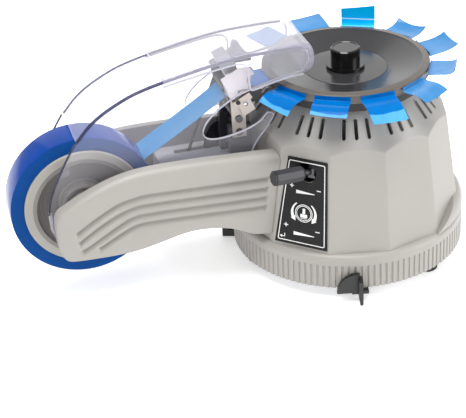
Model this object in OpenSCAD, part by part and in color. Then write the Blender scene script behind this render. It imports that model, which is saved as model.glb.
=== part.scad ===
// Powered carousel tape dispenser.
// A roll of tape sits in a side arm. A roller pair feeds the tape to a cutter,
// and the cut strips hang round the rim of a turning carousel.
// Millimetres, +Z up. The origin is the centre of the base at the standing surface,
// and the arm points along -X.

/* [Base] */
// Outer radius of the ribbed base ring
base_r = 85; // [78:1:104]
// Height of the ring's lower edge above the standing surface
ring_bottom = 9; // [7:0.5:12]
// Height where the ribs end
rib_top = 27; // [22:0.5:32]
// Height of the flat on top of the ring's shoulder
shoulder_top = 34.6; // [32:0.1:38]
// Radius of the shoulder's rounding
shoulder_round = 4; // [2:0.5:5]
// Number of ribs round the ring
rib_count = 120; // [60:2:160]
// Depth of the grooves between the ribs
rib_depth = 0.9; // [0.4:0.1:1.4]
// Wall of the base ring
ring_wall = 3; // [2:0.5:5]
// Thickness of the steel floor plate
floor_plate_t = 4; // [2:0.5:6]
// Radius of one round rubber foot
foot_r = 9; // [7:0.5:11]
// Radius of the circle that the round feet stand on
foot_circle_r = 70; // [55:1:75]
// Direction of the first round foot
foot_turn = -55.5; // [-80:0.5:-40]

/* [Housing] */
// Number of flat sides of the housing
side_count = 12; // [12:1:12]
// Turn of the flat sides about the upright axis
side_turn = 2; // [0:0.5:4]
// How far the lower corners stand in from the base ring's outside
corner_inset = 2.8; // [2:0.1:5]
// Radius of the corners where the flat sides meet the roof
corner_high_r = 72.5; // [68:0.5:80]
// Height where the corners meet the roof
corner_high_z = 107.3; // [100:0.1:112]
// Steepness of the conical roof, height lost for each unit of radius
roof_steep = 1.24; // [1:0.02:1.5]
// Height of the flat top of the roof
roof_top_z = 138; // [134:0.5:140]
// Length of the rounding at the edge of the flat top
roof_round = 3; // [1:0.5:5]
// Wall of the housing
shell_wall = 2.6; // [2:0.1:4]
// Number of cooling slots above one flat side
slots_per_side = 3; // [1:1:3]
// Angle between neighbouring slots
slot_pitch = 7.8; // [6:0.1:8.5]
// Width of a cooling slot
slot_w = 1.8; // [1.2:0.1:2.4]
// Radius where a slot starts
slot_in_r = 56; // [54:0.5:58]
// Radius where a slot ends
slot_out_r = 65.5; // [62:0.5:67]

/* [Carousel] */
// Outer radius of the carousel's rim
rim_r = 59.5; // [54:0.5:64]
// Height of the rim's upper edge
rim_top = 146.8; // [144:0.1:150]
// Height of the rim band that the strips stick to
rim_band = 6; // [4:0.5:8]
// Radius of the flat middle of the dish
dish_flat_r = 30; // [24:1:36]
// Depth of the dish below the rim
dish_depth = 5.2; // [3:0.1:6]
// Thickness of the dish
dish_t = 2; // [1.6:0.1:3]
// Radius of the spindle
spindle_r = 4; // [3:0.1:5]
// Radius of the knob
knob_r = 10.4; // [9:0.1:12]
// Height of the knob above its collar
knob_h = 12.6; // [9:0.1:16]
// Radius of the collar under the knob
collar_r = 13.6; // [12.6:0.1:16]
// Number of strip places round the rim
strip_places = 12; // [12:1:12]
// How far a strip reaches out from the rim
strip_out = 24; // [18:0.5:26]
// Thickness of a strip
strip_t = 0.4; // [0.3:0.1:0.8]

/* [Tape] */
// Width of the tape
tape_w = 25; // [18:0.5:30]
// Outer radius of the roll of tape
roll_r = 51.9; // [48:0.1:56]
// Inner radius of the roll's core, a standard 76 mm bore
core_r = 38.1; // [36:0.1:40]
// Wall of the roll's core
core_wall = 3.6; // [2.5:0.1:4]
// Wall of the running fits in the reel and the rollers, radial clearance
run_gap = 0.05; // [0.02:0.01:0.1]
// Radius of the reel's axle
axle_r = 5; // [4:0.1:6]
// Distance of the reel's axle from the upright axis
axle_x = 197; // [190:1:210]
// Height of the reel's axle
axle_z = 74; // [72:0.5:80]

/* [Arm] */
// Half of the clear width between the two arm sides
arm_half = 30; // [28:0.5:36]
// Thickness of an arm side
side_t = 10; // [8:0.5:12]
// Wall left outside the hollow in an arm side
side_skin = 3; // [2.8:0.1:4]
// Width of the rounded shoulder along an arm side's upper edge
side_round = 6; // [3:0.5:7]
// Depth of the styling grooves
groove_depth = 1.5; // [0.5:0.1:2]
// Width of a styling groove
groove_w = 3.6; // [2:0.1:4.5]
// Height of the arm's inner deck
deck_z = 86; // [80:0.5:90]
// Wall of the inner deck
deck_wall = 2.5; // [2:0.1:3]

/* [Clear cover] */
// Gap between the cover's side walls and the arm sides
cover_gap = 4.6; // [3.5:0.1:6]
// Wall of the clear cover
cover_wall = 2; // [1.5:0.1:2.5]
// Wall of the front hood that laps over the cover
hood_wall = 1.6; // [1.2:0.1:2]
// Radius of the cover's round ends about the reel's axle
cover_end_r = 28; // [24:0.5:32]
// How far the cover swings open
cover_open = 70; // [45:1:75]

/* [Cutter] */
// Gap between the tape's edge and a cutter side plate
cutter_side_gap = 3.3; // [2:0.1:4]
// Thickness of a cutter side plate
cutter_plate_t = 1.5; // [1:0.1:2]
// Radius of the lower feed roller
feed_r = 5.5; // [5:0.1:7]
// Radius of the upper press roller
press_r = 3.6; // [3:0.1:5]
// Radius of the rollers' shafts
roller_shaft_r = 1.6; // [1.2:0.1:2.5]
// Travel of the blade carrier
blade_travel = 5; // [3:0.5:6]
// Thickness of the blade
blade_t = 0.8; // [0.6:0.1:1]
// How far the blade carrier stands behind the strips' ends
blade_off = 1.8; // [1.6:0.1:2.2]
// Height of the gap in the cutter side plates through which the strips pass
strip_gap = 2.6; // [2:0.1:4]

/* [Controls] */
// Radius of the round opening for the width lever
lever_hole_r = 7.4; // [6.5:0.1:8]
// Radius of the lever's knob
lever_knob_r = 5.6; // [4:0.1:6]
// Length of the lever's knob
lever_knob_l = 23.7; // [18:0.1:28]
// Lean of the lever at rest
lever_lean = 34; // [20:1:36]
// Radius of the opening in the power jack
jack_r = 2.8; // [2.5:0.05:3.2]

/* [Hidden] */
$fn = 64;

// Finishes
warm_grey = [0.77, 0.75, 0.72];
dark_grey = [0.33, 0.33, 0.34];
soft_black = [0.08, 0.08, 0.09];
steel = [0.72, 0.72, 0.73];
tape_blue = [0.10, 0.45, 0.90];
clear = [0.86, 0.86, 0.94, 0.35];

// Housing, worked out
corner_low_r = base_r - corner_inset;
side_angle = 360 / side_count;
apothem_low = corner_low_r * cos(side_angle / 2);
apothem_high = corner_high_r * cos(side_angle / 2);
side_rise = corner_high_z - shoulder_top;
side_tilt = atan((apothem_low - apothem_high) / side_rise);
roof_angle = atan(roof_steep);
wall_in = shell_wall + 0.8;
plate_clear = 0.3;
label_side = -135 + side_turn;
switch_side = 15 + side_turn;

// Tape path, worked out
axle = [-axle_x, axle_z];
cut_x = -(rim_r + strip_out);
strip_z = rim_top - 1.6;
feed_slope = 32;
nip_back = 4.9;
feed_dir = [cos(feed_slope), sin(feed_slope)];
feed_up = [-sin(feed_slope), cos(feed_slope)];
nip = [cut_x - nip_back, strip_z - 0.15 - nip_back * tan(feed_slope)];
feed_at = nip - feed_up * (feed_r + strip_t / 2 + 0.1);
press_at = nip + feed_up * (press_r + strip_t / 2 + 0.1);

pedestal_y = tape_w / 2 + cutter_side_gap;
pedestal_t = 6;
bracket_y = pedestal_y + cutter_plate_t;

function roof_r(z) = corner_high_r - (z - corner_high_z) / roof_steep;
function side_distance(z) = apothem_low - (z - shoulder_top) * tan(side_tilt);

// Smooth closed or open curve through a few points, by Catmull and Rom's rule
function curve_point(a, b, c, d, t) =
    0.5 * ((2 * b) + (c - a) * t + (2 * a - 5 * b + 4 * c - d) * t * t
    + (3 * b - a - 3 * c + d) * t * t * t);
function open_curve(p, steps) = [
    for (i = [0:len(p) - 2]) for (k = [0:steps - 1])
        curve_point(p[max(i - 1, 0)], p[i], p[i + 1], p[min(i + 2, len(p) - 1)], k / steps),
    p[len(p) - 1]
];
function normal_at(p, i) =
    let (d = p[min(i + 1, len(p) - 1)] - p[max(i - 1, 0)]) [d[1], -d[0]] / norm(d);
function arc(c, r, a0, a1, n) = [for (i = [0:n]) c + r * [cos(a0 + (a1 - a0) * i / n), sin(a0 + (a1 - a0) * i / n)]];

// An upright outline in X and Z, carried from y0 to y1
module along_y(y0, y1) {
    translate([0, y1, 0]) rotate([90, 0, 0]) linear_extrude(y1 - y0) children();
}
module rod_y(at, r, y0, y1) {
    translate([at[0], y1, at[1]]) rotate([90, 0, 0]) cylinder(r = r, h = y1 - y0);
}
// Local Z is a flat side's outward normal, and local Y runs up the side
module on_side(direction, z) {
    translate([side_distance(z) * cos(direction), side_distance(z) * sin(direction), z])
        rotate([0, 0, direction + 90]) rotate([90 - side_tilt, 0, 0]) children();
}

// ---------- Base ----------
groove_share = 0.42;
rib_r = base_r - 0.12;
function rib_outline() = [
    for (i = [0:rib_count - 1]) let (s = 360 / rib_count, a = i * s, g = s * groove_share)
    each [
        rib_r * [cos(a), sin(a)],
        rib_r * [cos(a + s - g), sin(a + s - g)],
        (base_r - rib_depth) * [cos(a + s - 0.75 * g), sin(a + s - 0.75 * g)],
        (base_r - rib_depth) * [cos(a + s - 0.25 * g), sin(a + s - 0.25 * g)]
    ]
];
ring_inner_r = base_r - ring_wall - rib_depth;
ring_ledge = 6;

module base_ring() color(warm_grey) {
    difference() {
        union() {
            translate([0, 0, ring_bottom]) linear_extrude(rib_top - ring_bottom) polygon(rib_outline());
            translate([0, 0, rib_top]) cylinder(r = base_r, h = shoulder_top - rib_top - shoulder_round, $fn = 180);
            rotate_extrude($fn = 180) {
                translate([0, rib_top]) square([base_r - shoulder_round, shoulder_top - rib_top]);
                translate([base_r - shoulder_round, shoulder_top - shoulder_round]) circle(shoulder_round);
            }
        }
        translate([0, 0, -1]) cylinder(r = ring_inner_r, h = shoulder_top - ring_wall + 1, $fn = 180);
        cylinder(r = ring_inner_r - ring_ledge, h = shoulder_top + 1, $fn = 180);
    }
    // Posts under the inner ledge that take the floor screws
    for (i = [0:screw_count - 1]) rotate([0, 0, 20 + i * 90]) translate([screw_circle_r, 0, 0]) difference() {
        translate([0, 0, floor_plate_z + floor_plate_t])
            cylinder(r = screw_post_r, h = shoulder_top - ring_wall / 2 - floor_plate_z - floor_plate_t);
        cylinder(r = 1.9, h = floor_plate_z + floor_plate_t + 5);
    }
}

floor_plate_z = ring_bottom + 0.6;
screw_post_r = 4.4;
screw_count = 4;
screw_circle_r = ring_inner_r - screw_post_r - 0.6;
module floor_plate() color(steel) {
    difference() {
        translate([0, 0, floor_plate_z]) cylinder(r = ring_inner_r - 0.2, h = floor_plate_t, $fn = 180);
        for (i = [0:2]) rotate([0, 0, foot_turn + 120 * i]) translate([foot_circle_r, 0, 0]) {
            cylinder(r = foot_stem_r + 0.05, h = 30);
        }
        for (i = [0:screw_count - 1]) rotate([0, 0, 20 + i * 90]) translate([screw_circle_r, 0, 0]) {
            cylinder(r = 2, h = 30);
        }
    }
}

foot_stem_r = 3;
module rubber_feet() color(soft_black) {
    for (i = [0:2]) rotate([0, 0, foot_turn + 120 * i]) translate([foot_circle_r, 0, 0]) {
        difference() {
            union() {
                cylinder(r = foot_r, h = floor_plate_z);
                cylinder(r = foot_stem_r, h = floor_plate_z + floor_plate_t);
                translate([0, 0, floor_plate_z + floor_plate_t]) cylinder(r = foot_stem_r + 2, h = 2);
            }
            translate([0, 0, -1]) cylinder(r = 2.2, h = 4);
        }
    }
}

// Black anti-tip brackets: a quarter-round web and an upright fin that reaches the surface
bracket_directions = [-103.5, 158.6];
fin_t = 3;
fin_h = 19;
fin_reach = 9;
web_r = 15;
module foot_bracket() {
    translate([base_r + 0.3, -fin_t / 2, 0]) rotate([90, 0, 90]) linear_extrude(fin_reach)
        polygon([[0, fin_h], [fin_t, fin_h], [fin_t, 1], [fin_t * 0.7, 0], [fin_t * 0.3, 0], [0, 6]]);
    intersection() {
        translate([base_r + 1, -fin_t / 2, 7.5]) rotate([0, 90, 0]) cylinder(r = web_r, h = 3);
        translate([base_r, -fin_t / 2 - web_r, 7.5]) cube([5, web_r + 1, web_r]);
    }
    // Tongue that runs in under the ring to the floor plate
    translate([base_r - 22, -6, ring_bottom - 2.5]) cube([26, 12, 2.4]);
    translate([base_r - 22, -6, ring_bottom - 2.5]) cube([14, 12, 3.1]);
}
module foot_brackets() color(soft_black) {
    for (d = bracket_directions) rotate([0, 0, d]) foot_bracket();
}

module floor_screws() color(steel) {
    for (i = [0:screw_count - 1]) rotate([0, 0, 20 + i * 90]) translate([screw_circle_r, 0, 0]) {
        difference() {
            translate([0, 0, floor_plate_z - 2]) cylinder(r = 3.4, h = 2);
            translate([0, 0, floor_plate_z - 2.5]) cylinder(r = 1.6, h = 1.5, $fn = 6);
        }
        translate([0, 0, floor_plate_z]) cylinder(r = 1.9, h = floor_plate_t + 4);
    }
}

// ---------- Housing ----------
bulge_top = 47;
bulge_round = 10;
bulge_start_x = 42;
bulge_slope = 25;
bulge_in_r = apothem_low - shell_wall + 0.4;
function bend(a, b, c, n) = [for (i = [0:n]) let (t = i / n) a * (1 - t) * (1 - t) + 2 * b * t * (1 - t) + c * t * t];
module roof_envelope() {
    edge = [roof_r(roof_top_z), roof_top_z];
    rotate_extrude($fn = 180) polygon(concat(
        [[0, shoulder_top - 1], [roof_r(shoulder_top), shoulder_top - 1]],
        bend(edge + roof_round * [cos(roof_angle), -sin(roof_angle)], edge, edge - [roof_round, 0], 4),
        [[0, roof_top_z]]
    ));
}
// All the flat sides, from a height up past the roof
module flat_sides(start) {
    function corner_r(z) = corner_low_r - (z - shoulder_top) * (corner_low_r - corner_high_r) / side_rise;
    stop = roof_top_z + 2;
    rotate([0, 0, side_turn]) translate([0, 0, start])
        cylinder(r1 = corner_r(start), r2 = corner_r(stop), h = stop - start, $fn = side_count);
}
// The flat sides run up into the conical roof, which cuts a low arch at the top of each one
module housing_outer() {
    intersection() {
        flat_sides(shoulder_top);
        roof_envelope();
    }
}
module housing_hollow() {
    inner_edge = shell_wall / sin(roof_angle);
    meet = corner_high_z + (corner_high_r - inner_edge - side_distance(corner_high_z) + wall_in)
        / (1 / roof_steep - tan(side_tilt));
    rotate_extrude($fn = 180) polygon([
        [0, shoulder_top - 1], [side_distance(shoulder_top) - wall_in, shoulder_top - 1],
        [side_distance(meet) - wall_in, meet], [roof_r(roof_top_z - shell_wall) - inner_edge, roof_top_z - shell_wall],
        [0, roof_top_z - shell_wall]
    ]);
}
module inlet_cowl() color(warm_grey) {
    // Thicker foot on the side away from the arm, a separate moulding round the housing's flat sides
    difference() {
        rotate_extrude($fn = 180) polygon(concat(
            [[bulge_in_r, shoulder_top], [base_r, shoulder_top]],
            arc([base_r - bulge_round, bulge_top - bulge_round], bulge_round, 0,
                acos((bulge_in_r - base_r + bulge_round) / bulge_round), 8)
        ));
        translate([bulge_start_x, -100, shoulder_top]) rotate([0, -bulge_slope, 0])
            translate([-200, 0, 0]) cube([400, 200, 200]);
        translate([-100, -100, 0]) cube([100 + bulge_start_x + 1, 200, 100]);
        flat_sides(shoulder_top - 1);
    }
}
module slot_cutters() {
    slope = atan(roof_steep);
    mid_r = (slot_in_r + slot_out_r) / 2;
    length = (slot_out_r - slot_in_r) / cos(slope);
    for (i = [0:side_count - 1], k = [0:slots_per_side - 1]) {
        a = side_turn + side_angle * (i + 0.5) + (k - (slots_per_side - 1) / 2) * slot_pitch;
        rotate([0, 0, a]) translate([mid_r, 0, corner_high_z + (corner_high_r - mid_r) * roof_steep])
            rotate([0, slope, 0]) translate([0, 0, -6]) linear_extrude(12) {
                square([length - slot_w, slot_w], center = true);
                for (s = [-1, 1]) translate([s * (length - slot_w) / 2, 0]) circle(slot_w / 2);
            }
    }
}
label_centre_z = 69;
lever_u = 1.7;
lever_z = 92;
switch_z = 82;
jack_z = 58;
switch_w = 13;
switch_h = 19;
bush_flange_r = 9;
bush_r = 6.5;
module housing() color(warm_grey) {
    difference() {
        housing_outer();
        // Hollow inside, with a thick roof round the spindle
        difference() {
            housing_hollow();
            lever_posts();
            translate([0, 0, roof_top_z - 9]) cylinder(r = bush_r + 4, h = 20);
        }
        translate([0, 0, roof_top_z - 20]) cylinder(r = bush_r, h = 40);
        slot_cutters();
        on_side(label_side, lever_z) translate([lever_u, 0, -12]) cylinder(r = lever_hole_r, h = 30);
        on_side(switch_side, switch_z) cube([switch_w + 0.1, switch_h + 0.1, 30], center = true);
        on_side(switch_side, jack_z) translate([0, 0, -15]) cylinder(r = 4.5, h = 30);
    }
}

label_t = 0.8;
label_bottom_z = 36.9;
label_top_z = 102;
label_gap = [3.74, 3.26];
label_right = [19.5, 17.1];
// Place across the flat side that is a gap away from the arm's outer face
function beside_arm(gap, z) = -(arm_half + side_t + gap + side_distance(z) * sin(label_side)) / cos(label_side);
module control_plate() color(soft_black) {
    low = (label_bottom_z - label_centre_z) / cos(side_tilt);
    high = (label_top_z - label_centre_z) / cos(side_tilt);
    lever_y = (lever_z - label_centre_z) / cos(side_tilt);
    difference() {
        on_side(label_side, label_centre_z) translate([0, 0, 0.01]) linear_extrude(label_t)
            polygon([[beside_arm(label_gap[0], label_bottom_z), low], [label_right[0], low], [label_right[1], high],
                [beside_arm(label_gap[1], label_top_z), high]]);
        on_side(label_side, lever_z) translate([lever_u, 0, -5]) cylinder(r = lever_hole_r, h = 12);
    }
}

module spindle_bush() color([0.75, 0.6, 0.3]) {
    difference() {
        union() {
            translate([0, 0, roof_top_z - 9]) cylinder(r = bush_r, h = 9);
            translate([0, 0, roof_top_z - 11]) cylinder(r = bush_flange_r, h = 2);
        }
        translate([0, 0, roof_top_z - 20]) cylinder(r = spindle_r + run_gap, h = 30);
    }
}

// ---------- Drive inside the housing ----------
gear_module = 1.5;
gear_teeth = 32;
pinion_teeth = 12;
gear_z = 112;
gear_t = 6;
mesh_gap = 0.25;
gear_distance = (gear_teeth + pinion_teeth) * gear_module / 2 + mesh_gap;
motor_at = [gear_distance, 0];
tooth_clear = 0.12;
// Involute outline of a spur gear. The flank angle grows as the involute of the pressure angle.
function involute(a) = tan(a) * 180 / PI - a;
function flank(pitch_r, teeth, r) =
    let (base = pitch_r * cos(20), a = acos(min(1, base / max(r, base))))
    90 / teeth - tooth_clear / pitch_r * 57.3 + involute(20) - involute(a);
function gear_outline(teeth, turn) =
    let (p = teeth * gear_module / 2, root = p - 1.25 * gear_module, tip = p + gear_module * 0.92,
        rs = [root, p - 0.6 * gear_module, p, p + 0.5 * gear_module, tip])
    [for (i = [0:teeth - 1]) let (c = turn + i * 360 / teeth) each concat(
        [for (k = [0:4]) rs[k] * [cos(c - flank(p, teeth, rs[k])), sin(c - flank(p, teeth, rs[k]))]],
        [for (k = [4:-1:0]) rs[k] * [cos(c + flank(p, teeth, rs[k])), sin(c + flank(p, teeth, rs[k]))]]
    )];

module gearmotor() color(steel) {
    can_r = 17;
    translate([motor_at[0], motor_at[1], gear_z - 12]) {
        difference() {
            union() {
                translate([0, 0, -22]) cylinder(r = can_r + 1.5, h = 20);
                translate([0, 0, -56]) cylinder(r = can_r, h = 34);
                translate([0, 0, -59]) cylinder(r = 5, h = 3);
            }
            translate([0, 0, -8]) cylinder(r = pinion_shaft_r + run_gap, h = 10);
        }
    }
}
pinion_shaft_r = 3;
motor_plate_t = 2;
module motor_plate() color(steel) {
    z = gear_z - 14;
    difference() {
        translate([0, 0, z]) cylinder(r = 58, h = motor_plate_t, $fn = 120);
        translate([motor_at[0], motor_at[1], z - 1]) cylinder(r = pinion_shaft_r + 1, h = 10);
        translate([0, 0, z - 1]) cylinder(r = spindle_r + 1, h = 10);
        translate([-80, -80, z - 1]) cube([50, 160, 10]);
    }
    for (a = [50, 180 - 75, -50, -105]) rotate([0, 0, a]) translate([52, 0, floor_plate_z + floor_plate_t])
        cylinder(r = 3, h = z - floor_plate_z - floor_plate_t);
}
module circuit_board() color([0.1, 0.35, 0.2]) {
    translate([-46, -24, floor_plate_z + floor_plate_t + 6]) cube([52, 48, 1.6]);
    for (x = [-42, 2], y = [-20, 20]) translate([x, y, floor_plate_z + floor_plate_t]) cylinder(r = 2, h = 6);
    translate([-38, -14, floor_plate_z + floor_plate_t + 7.6]) cube([14, 14, 8]);
    translate([-16, 4, floor_plate_z + floor_plate_t + 7.6]) cylinder(r = 5, h = 12);
    translate([-4, 6, floor_plate_z + floor_plate_t + 7.6]) cylinder(r = 4, h = 10);
}
module motor_pinion() color([0.85, 0.8, 0.6]) {
    translate([motor_at[0], motor_at[1], 0]) {
        translate([0, 0, gear_z]) linear_extrude(gear_t) polygon(gear_outline(pinion_teeth, 180 + 180 / pinion_teeth));
        translate([0, 0, gear_z - 19]) cylinder(r = pinion_shaft_r, h = 19 + gear_t + 2);
    }
}
module drive_gear() color([0.9, 0.9, 0.86]) {
    difference() {
        union() {
            translate([0, 0, gear_z + 0.5]) linear_extrude(gear_t - 1) polygon(gear_outline(gear_teeth, 0));
            translate([0, 0, gear_z - 4]) cylinder(r = 9, h = gear_t + 6);
        }
        translate([0, 0, gear_z - 10]) cylinder(r = spindle_r, h = 30);
    }
}

// ---------- Power inlet ----------
bezel = 1.6;
module switch_frame() color(soft_black) {
    on_side(switch_side, switch_z) difference() {
        union() {
            translate([0, 0, bezel / 2]) cube([switch_w + 4, switch_h + 4, bezel], center = true);
            translate([0, 0, -7]) cube([switch_w, switch_h, 14], center = true);
        }
        translate([0, 0, 0]) cube([switch_w - 3, switch_h - 3, 20], center = true);
        translate([0, 0, -3]) rotate([0, 90, 0]) cylinder(r = 1.5 + run_gap, h = 40, center = true);
    }
}
rocker_throw = 12;
module power_rocker() color(soft_black) {
    on_side(switch_side, switch_z) translate([0, 0, -3]) rotate([rocker_throw / 2, 0, 0]) {
        difference() {
            translate([0, 0, 2.8]) cube([switch_w - 3.6, switch_h - 5.4, 5], center = true);
            translate([0, 0, 18.2]) rotate([0, 90, 0]) cylinder(r = 13.6, h = 40, center = true);
        }
        rotate([0, 90, 0]) cylinder(r = 1.5, h = switch_w - 0.4, center = true);
    }
}
module power_jack() color(soft_black) {
    on_side(switch_side, jack_z) difference() {
        union() {
            cylinder(r = 6.5, h = 1.4);
            translate([0, 0, -11]) cylinder(r = 4.45, h = 11.4);
        }
        translate([0, 0, -9]) cylinder(r = jack_r, h = 20);
    }
}

// ---------- Carousel ----------
dish_z = rim_top - dish_depth;
module carousel_disc() color(dark_grey) {
    difference() {
        rotate_extrude($fn = 180) polygon([
            [0, dish_z], [dish_flat_r, dish_z], [rim_r - 2.6, rim_top - 0.5], [rim_r - 1.6, rim_top],
            [rim_r - 0.5, rim_top], [rim_r, rim_top - 0.5], [rim_r, rim_top - rim_band],
            [rim_r - 1.8, rim_top - rim_band], [rim_r - 1.8, rim_top - 2.6],
            [dish_flat_r, dish_z - dish_t], [0, dish_z - dish_t]
        ]);
        translate([0, 0, 100]) cylinder(r = spindle_r, h = 100);
    }
}
module spindle() color(steel) {
    translate([0, 0, gear_z - 6]) cylinder(r = spindle_r, h = dish_z + 10 - gear_z + 6);
}
collar_h = 2.4;
module knob_collar() color(soft_black) {
    difference() {
        rotate_extrude() {
            square([collar_r - 1, collar_h]);
            translate([0, 1]) square([collar_r, collar_h - 1]);
        }
        translate([0, 0, -1]) cylinder(r = spindle_r, h = 10);
    }
}
module carousel_knob() color(soft_black) {
    z = dish_z + collar_h;
    difference() {
        rotate_extrude($fn = 96) polygon([
            [0, z], [knob_r, z], [knob_r, z + knob_h - 0.9], [knob_r - 0.9, z + knob_h],
            [knob_r - 1.6, z + knob_h], [knob_r - 2.2, z + knob_h - 0.4], [0, z + knob_h - 0.4]
        ]);
        translate([0, 0, z - 1]) cylinder(r = spindle_r, h = dish_z + 11 - z);
        rotate([0, 0, -48]) translate([spindle_r - 0.5, 0, z + 5]) rotate([0, 90, 0]) cylinder(r = 1.5, h = knob_r);
    }
}
module set_screw() color(steel) {
    z = dish_z + collar_h;
    rotate([0, 0, -48]) translate([spindle_r + 0.05, 0, z + 5]) rotate([0, 90, 0]) difference() {
        cylinder(r = 1.45, h = knob_r - spindle_r - 1.2);
        translate([0, 0, knob_r - spindle_r - 2.4]) cylinder(r = 0.8, h = 3, $fn = 6);
    }
}
// Strips stick to the rim band and reach out from it. One place is free, where a strip was taken.
free_place = 5;
module tape_strips() color(tape_blue) {
    for (i = [0:strip_places - 1]) if (i != free_place) rotate([0, 0, side_turn + i * 360 / strip_places]) {
        translate([rim_r + 0.02, -tape_w / 2, 0]) {
            translate([0, 0, strip_z]) cube([strip_out, tape_w, strip_t]);
            translate([0, 0, strip_z - 3]) cube([strip_t, tape_w, 3 + strip_t]);
        }
    }
}

// ---------- Arm ----------
// Outline of an arm side, from the upper corner at the housing round to the lower one
arm_top_curve = open_curve([
    [-50, 99.4], [-66, 102], [-90, 103.8], [-120, 105.4], [-146, 105.9], [-162, 105.3], [-176, 103],
    [-190, 98.6], [-204, 92.5], [-214, 87.2], [-219, 84], [-221.6, 79], [-222.2, 70]
], 3);
arm_low_curve = open_curve([
    [-222.2, 70], [-221.4, 58], [-219.5, 51], [-216, 47], [-209, 45.6], [-195, 45], [-180.6, 44.8], [-166, 45.8],
    [-155, 47.8], [-144, 50.2], [-133, 52.4], [-122, 53], [-111, 51.8], [-100, 49], [-91, 45], [-84, 41.6],
    [-76, 40], [-64, 40], [-50, 40]
], 2);
arm_points = len(arm_top_curve);
arm_outline = concat(arm_top_curve, [for (i = [1:arm_points - 1]) arm_low_curve[i]]);
arm_tip_x = -222;
// Outline moved inwards: by top along the upper edge, where it fades towards the tip, and elsewhere by other
function arm_inset(top, other) = [
    for (i = [0:len(arm_outline) - 1]) let (p = arm_outline[i], share = min(1, (p[0] - arm_tip_x) / 40))
        p - normal_at(arm_outline, i) * (i < arm_points - 2 ? max(other, top * share) : other)
];
// Faces of a stack of outlines. Each end is closed by strips between its upper and lower halves.
function cap_strips(first, n, half) = [
    for (i = [0:half - 2]) let (a = first + i, b = first + n - 1 - i)
        i < half - 2 ? [a, a + 1, b - 1, b] : [a, a + 1, b]
];
function turned(faces) = [for (f = faces) [for (i = [len(f) - 1:-1:0]) f[i]]];
function skin_faces(n, rings, half) = concat(
    cap_strips(0, n, half),
    [for (k = [0:rings - 2], i = [0:n - 1]) let (j = (i + 1) % n)
        [k * n + i, (k + 1) * n + i, (k + 1) * n + j, k * n + j]],
    turned(cap_strips((rings - 1) * n, n, half))
);
// The rounded upper shoulder is a quarter ellipse across the thickness
module arm_side_solid() {
    rings = [for (k = [0:4]) let (a = k * 22.5) [
        arm_half + side_t - side_round * (1 - sin(a)) , side_round * (1 - cos(a)), 1.6 * (1 - cos(a))]];
    stack = concat([[arm_half, 0, 0]], rings);
    points = [for (s = stack) each [for (p = arm_inset(s[1], s[2])) [p[0], -s[0], p[1]]]];
    polyhedron(points = points, faces = skin_faces(len(arm_outline), len(stack), arm_points), convexity = 6);
}
groove_lines = [for (line = [
    [[-209, 69.2], [-193.4, 79], [-178, 86.6], [-166, 89.1], [-156, 89.8], [-120, 88.3], [-73, 86.4]],
    [[-208, 61.6], [-200, 67], [-184, 76.2], [-169, 81.6], [-156.4, 82.4], [-121, 80.9], [-74, 78.4]],
    [[-206.6, 54.8], [-199.6, 58.2], [-184.4, 67], [-170, 74], [-157, 75.2], [-121, 73.7], [-75, 71.4]],
    [[-194.4, 54.8], [-190, 57], [-179, 62.8], [-167.6, 67.6], [-157.4, 68.4], [-122, 66.9], [-76, 64.4]]
]) open_curve(line, 4)];
function band(line, w) = concat(line, [for (i = [len(line) - 1:-1:0]) line[i] - [0, w]]);
module arm_grooves() {
    for (line = groove_lines) along_y(-(arm_half + side_t + 1), -(arm_half + side_t - groove_depth))
        polygon(band(line, groove_w));
}
boss_r = 10;
axle_seat = 7;
screw_from_side = 4.6;
arm_screw_at = [[-apothem_low - screw_from_side, 60], [-128, 72], [-apothem_low - screw_from_side, 92]];
module arm_side() {
    difference() {
        arm_side_solid();
        arm_grooves();
        // Hollow inner side, with bosses for the axle and the deck screws
        difference() {
            along_y(-(arm_half + side_t - side_skin - groove_depth), -(arm_half - 1))
                polygon(arm_inset(side_round + 1.5, 4));
            rod_y(axle, boss_r, -(arm_half + side_t - 1), -arm_half);
            for (p = arm_screw_at) rod_y(p, 4, -(arm_half + side_t - 1), -arm_half);
            for (x = [-100, -150]) translate([x, -(arm_half + side_t), 40]) cube([2, side_t, 80]);
        }
        rod_y(axle, axle_r, -(arm_half + axle_seat), 0);
        for (p = arm_screw_at) rod_y(p, 1.6, -(arm_half + 6), 0);
    }
}
// Space behind the four flat sides that face the arm, with a clearance
module housing_block() {
    intersection_for (k = [-2:1]) on_side(180 + side_turn + (k + 0.5) * side_angle, 70)
        translate([-150, -150, -200]) cube([300, 300, 200 + plate_clear]);
}
// The inner ends butt against the housing's flat sides
module arm_side_front() color(warm_grey) difference() {
    arm_side();
    housing_block();
}
module arm_side_rear() color(warm_grey) difference() {
    mirror([0, 1, 0]) arm_side();
    housing_block();
}

deck_start = -138;
deck_half = arm_half;
deck_low = 56.4;
module arm_deck() color(dark_grey) {
    difference() {
        union() {
            translate([deck_start, -deck_half, deck_z - deck_wall]) cube([100, 2 * deck_half, deck_wall]);
            for (s = [-1, 1]) translate([deck_start, s > 0 ? deck_half - deck_wall : -deck_half, deck_low])
                cube([100, deck_wall, deck_z - deck_low]);
            translate([deck_start, -deck_half, deck_low]) cube([deck_wall, 2 * deck_half, deck_z - deck_low]);
            // Pedestal that carries the cutter's side plates
            for (s = [-1, 1]) translate([cut_x - 8, s > 0 ? pedestal_y - pedestal_t : -pedestal_y, deck_z - 1])
                cube([16, pedestal_t, strip_z - 28.4 - deck_z + 1]);
        }
        housing_block();
        for (p = arm_screw_at) rod_y(p, 1.6, -arm_half - 1, arm_half + 1);
        for (z = bar_drops) rod_y([cut_x - 1, strip_z - z], bar_r + 0.05, -30, 30);
        // Way through for the feed belt
        translate([feed_motor_at[0] - 12, belt_y - 1, deck_z - 10]) cube([45, belt_w + 2, 20]);
    }
}
belly_t = 2.4;
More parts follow.
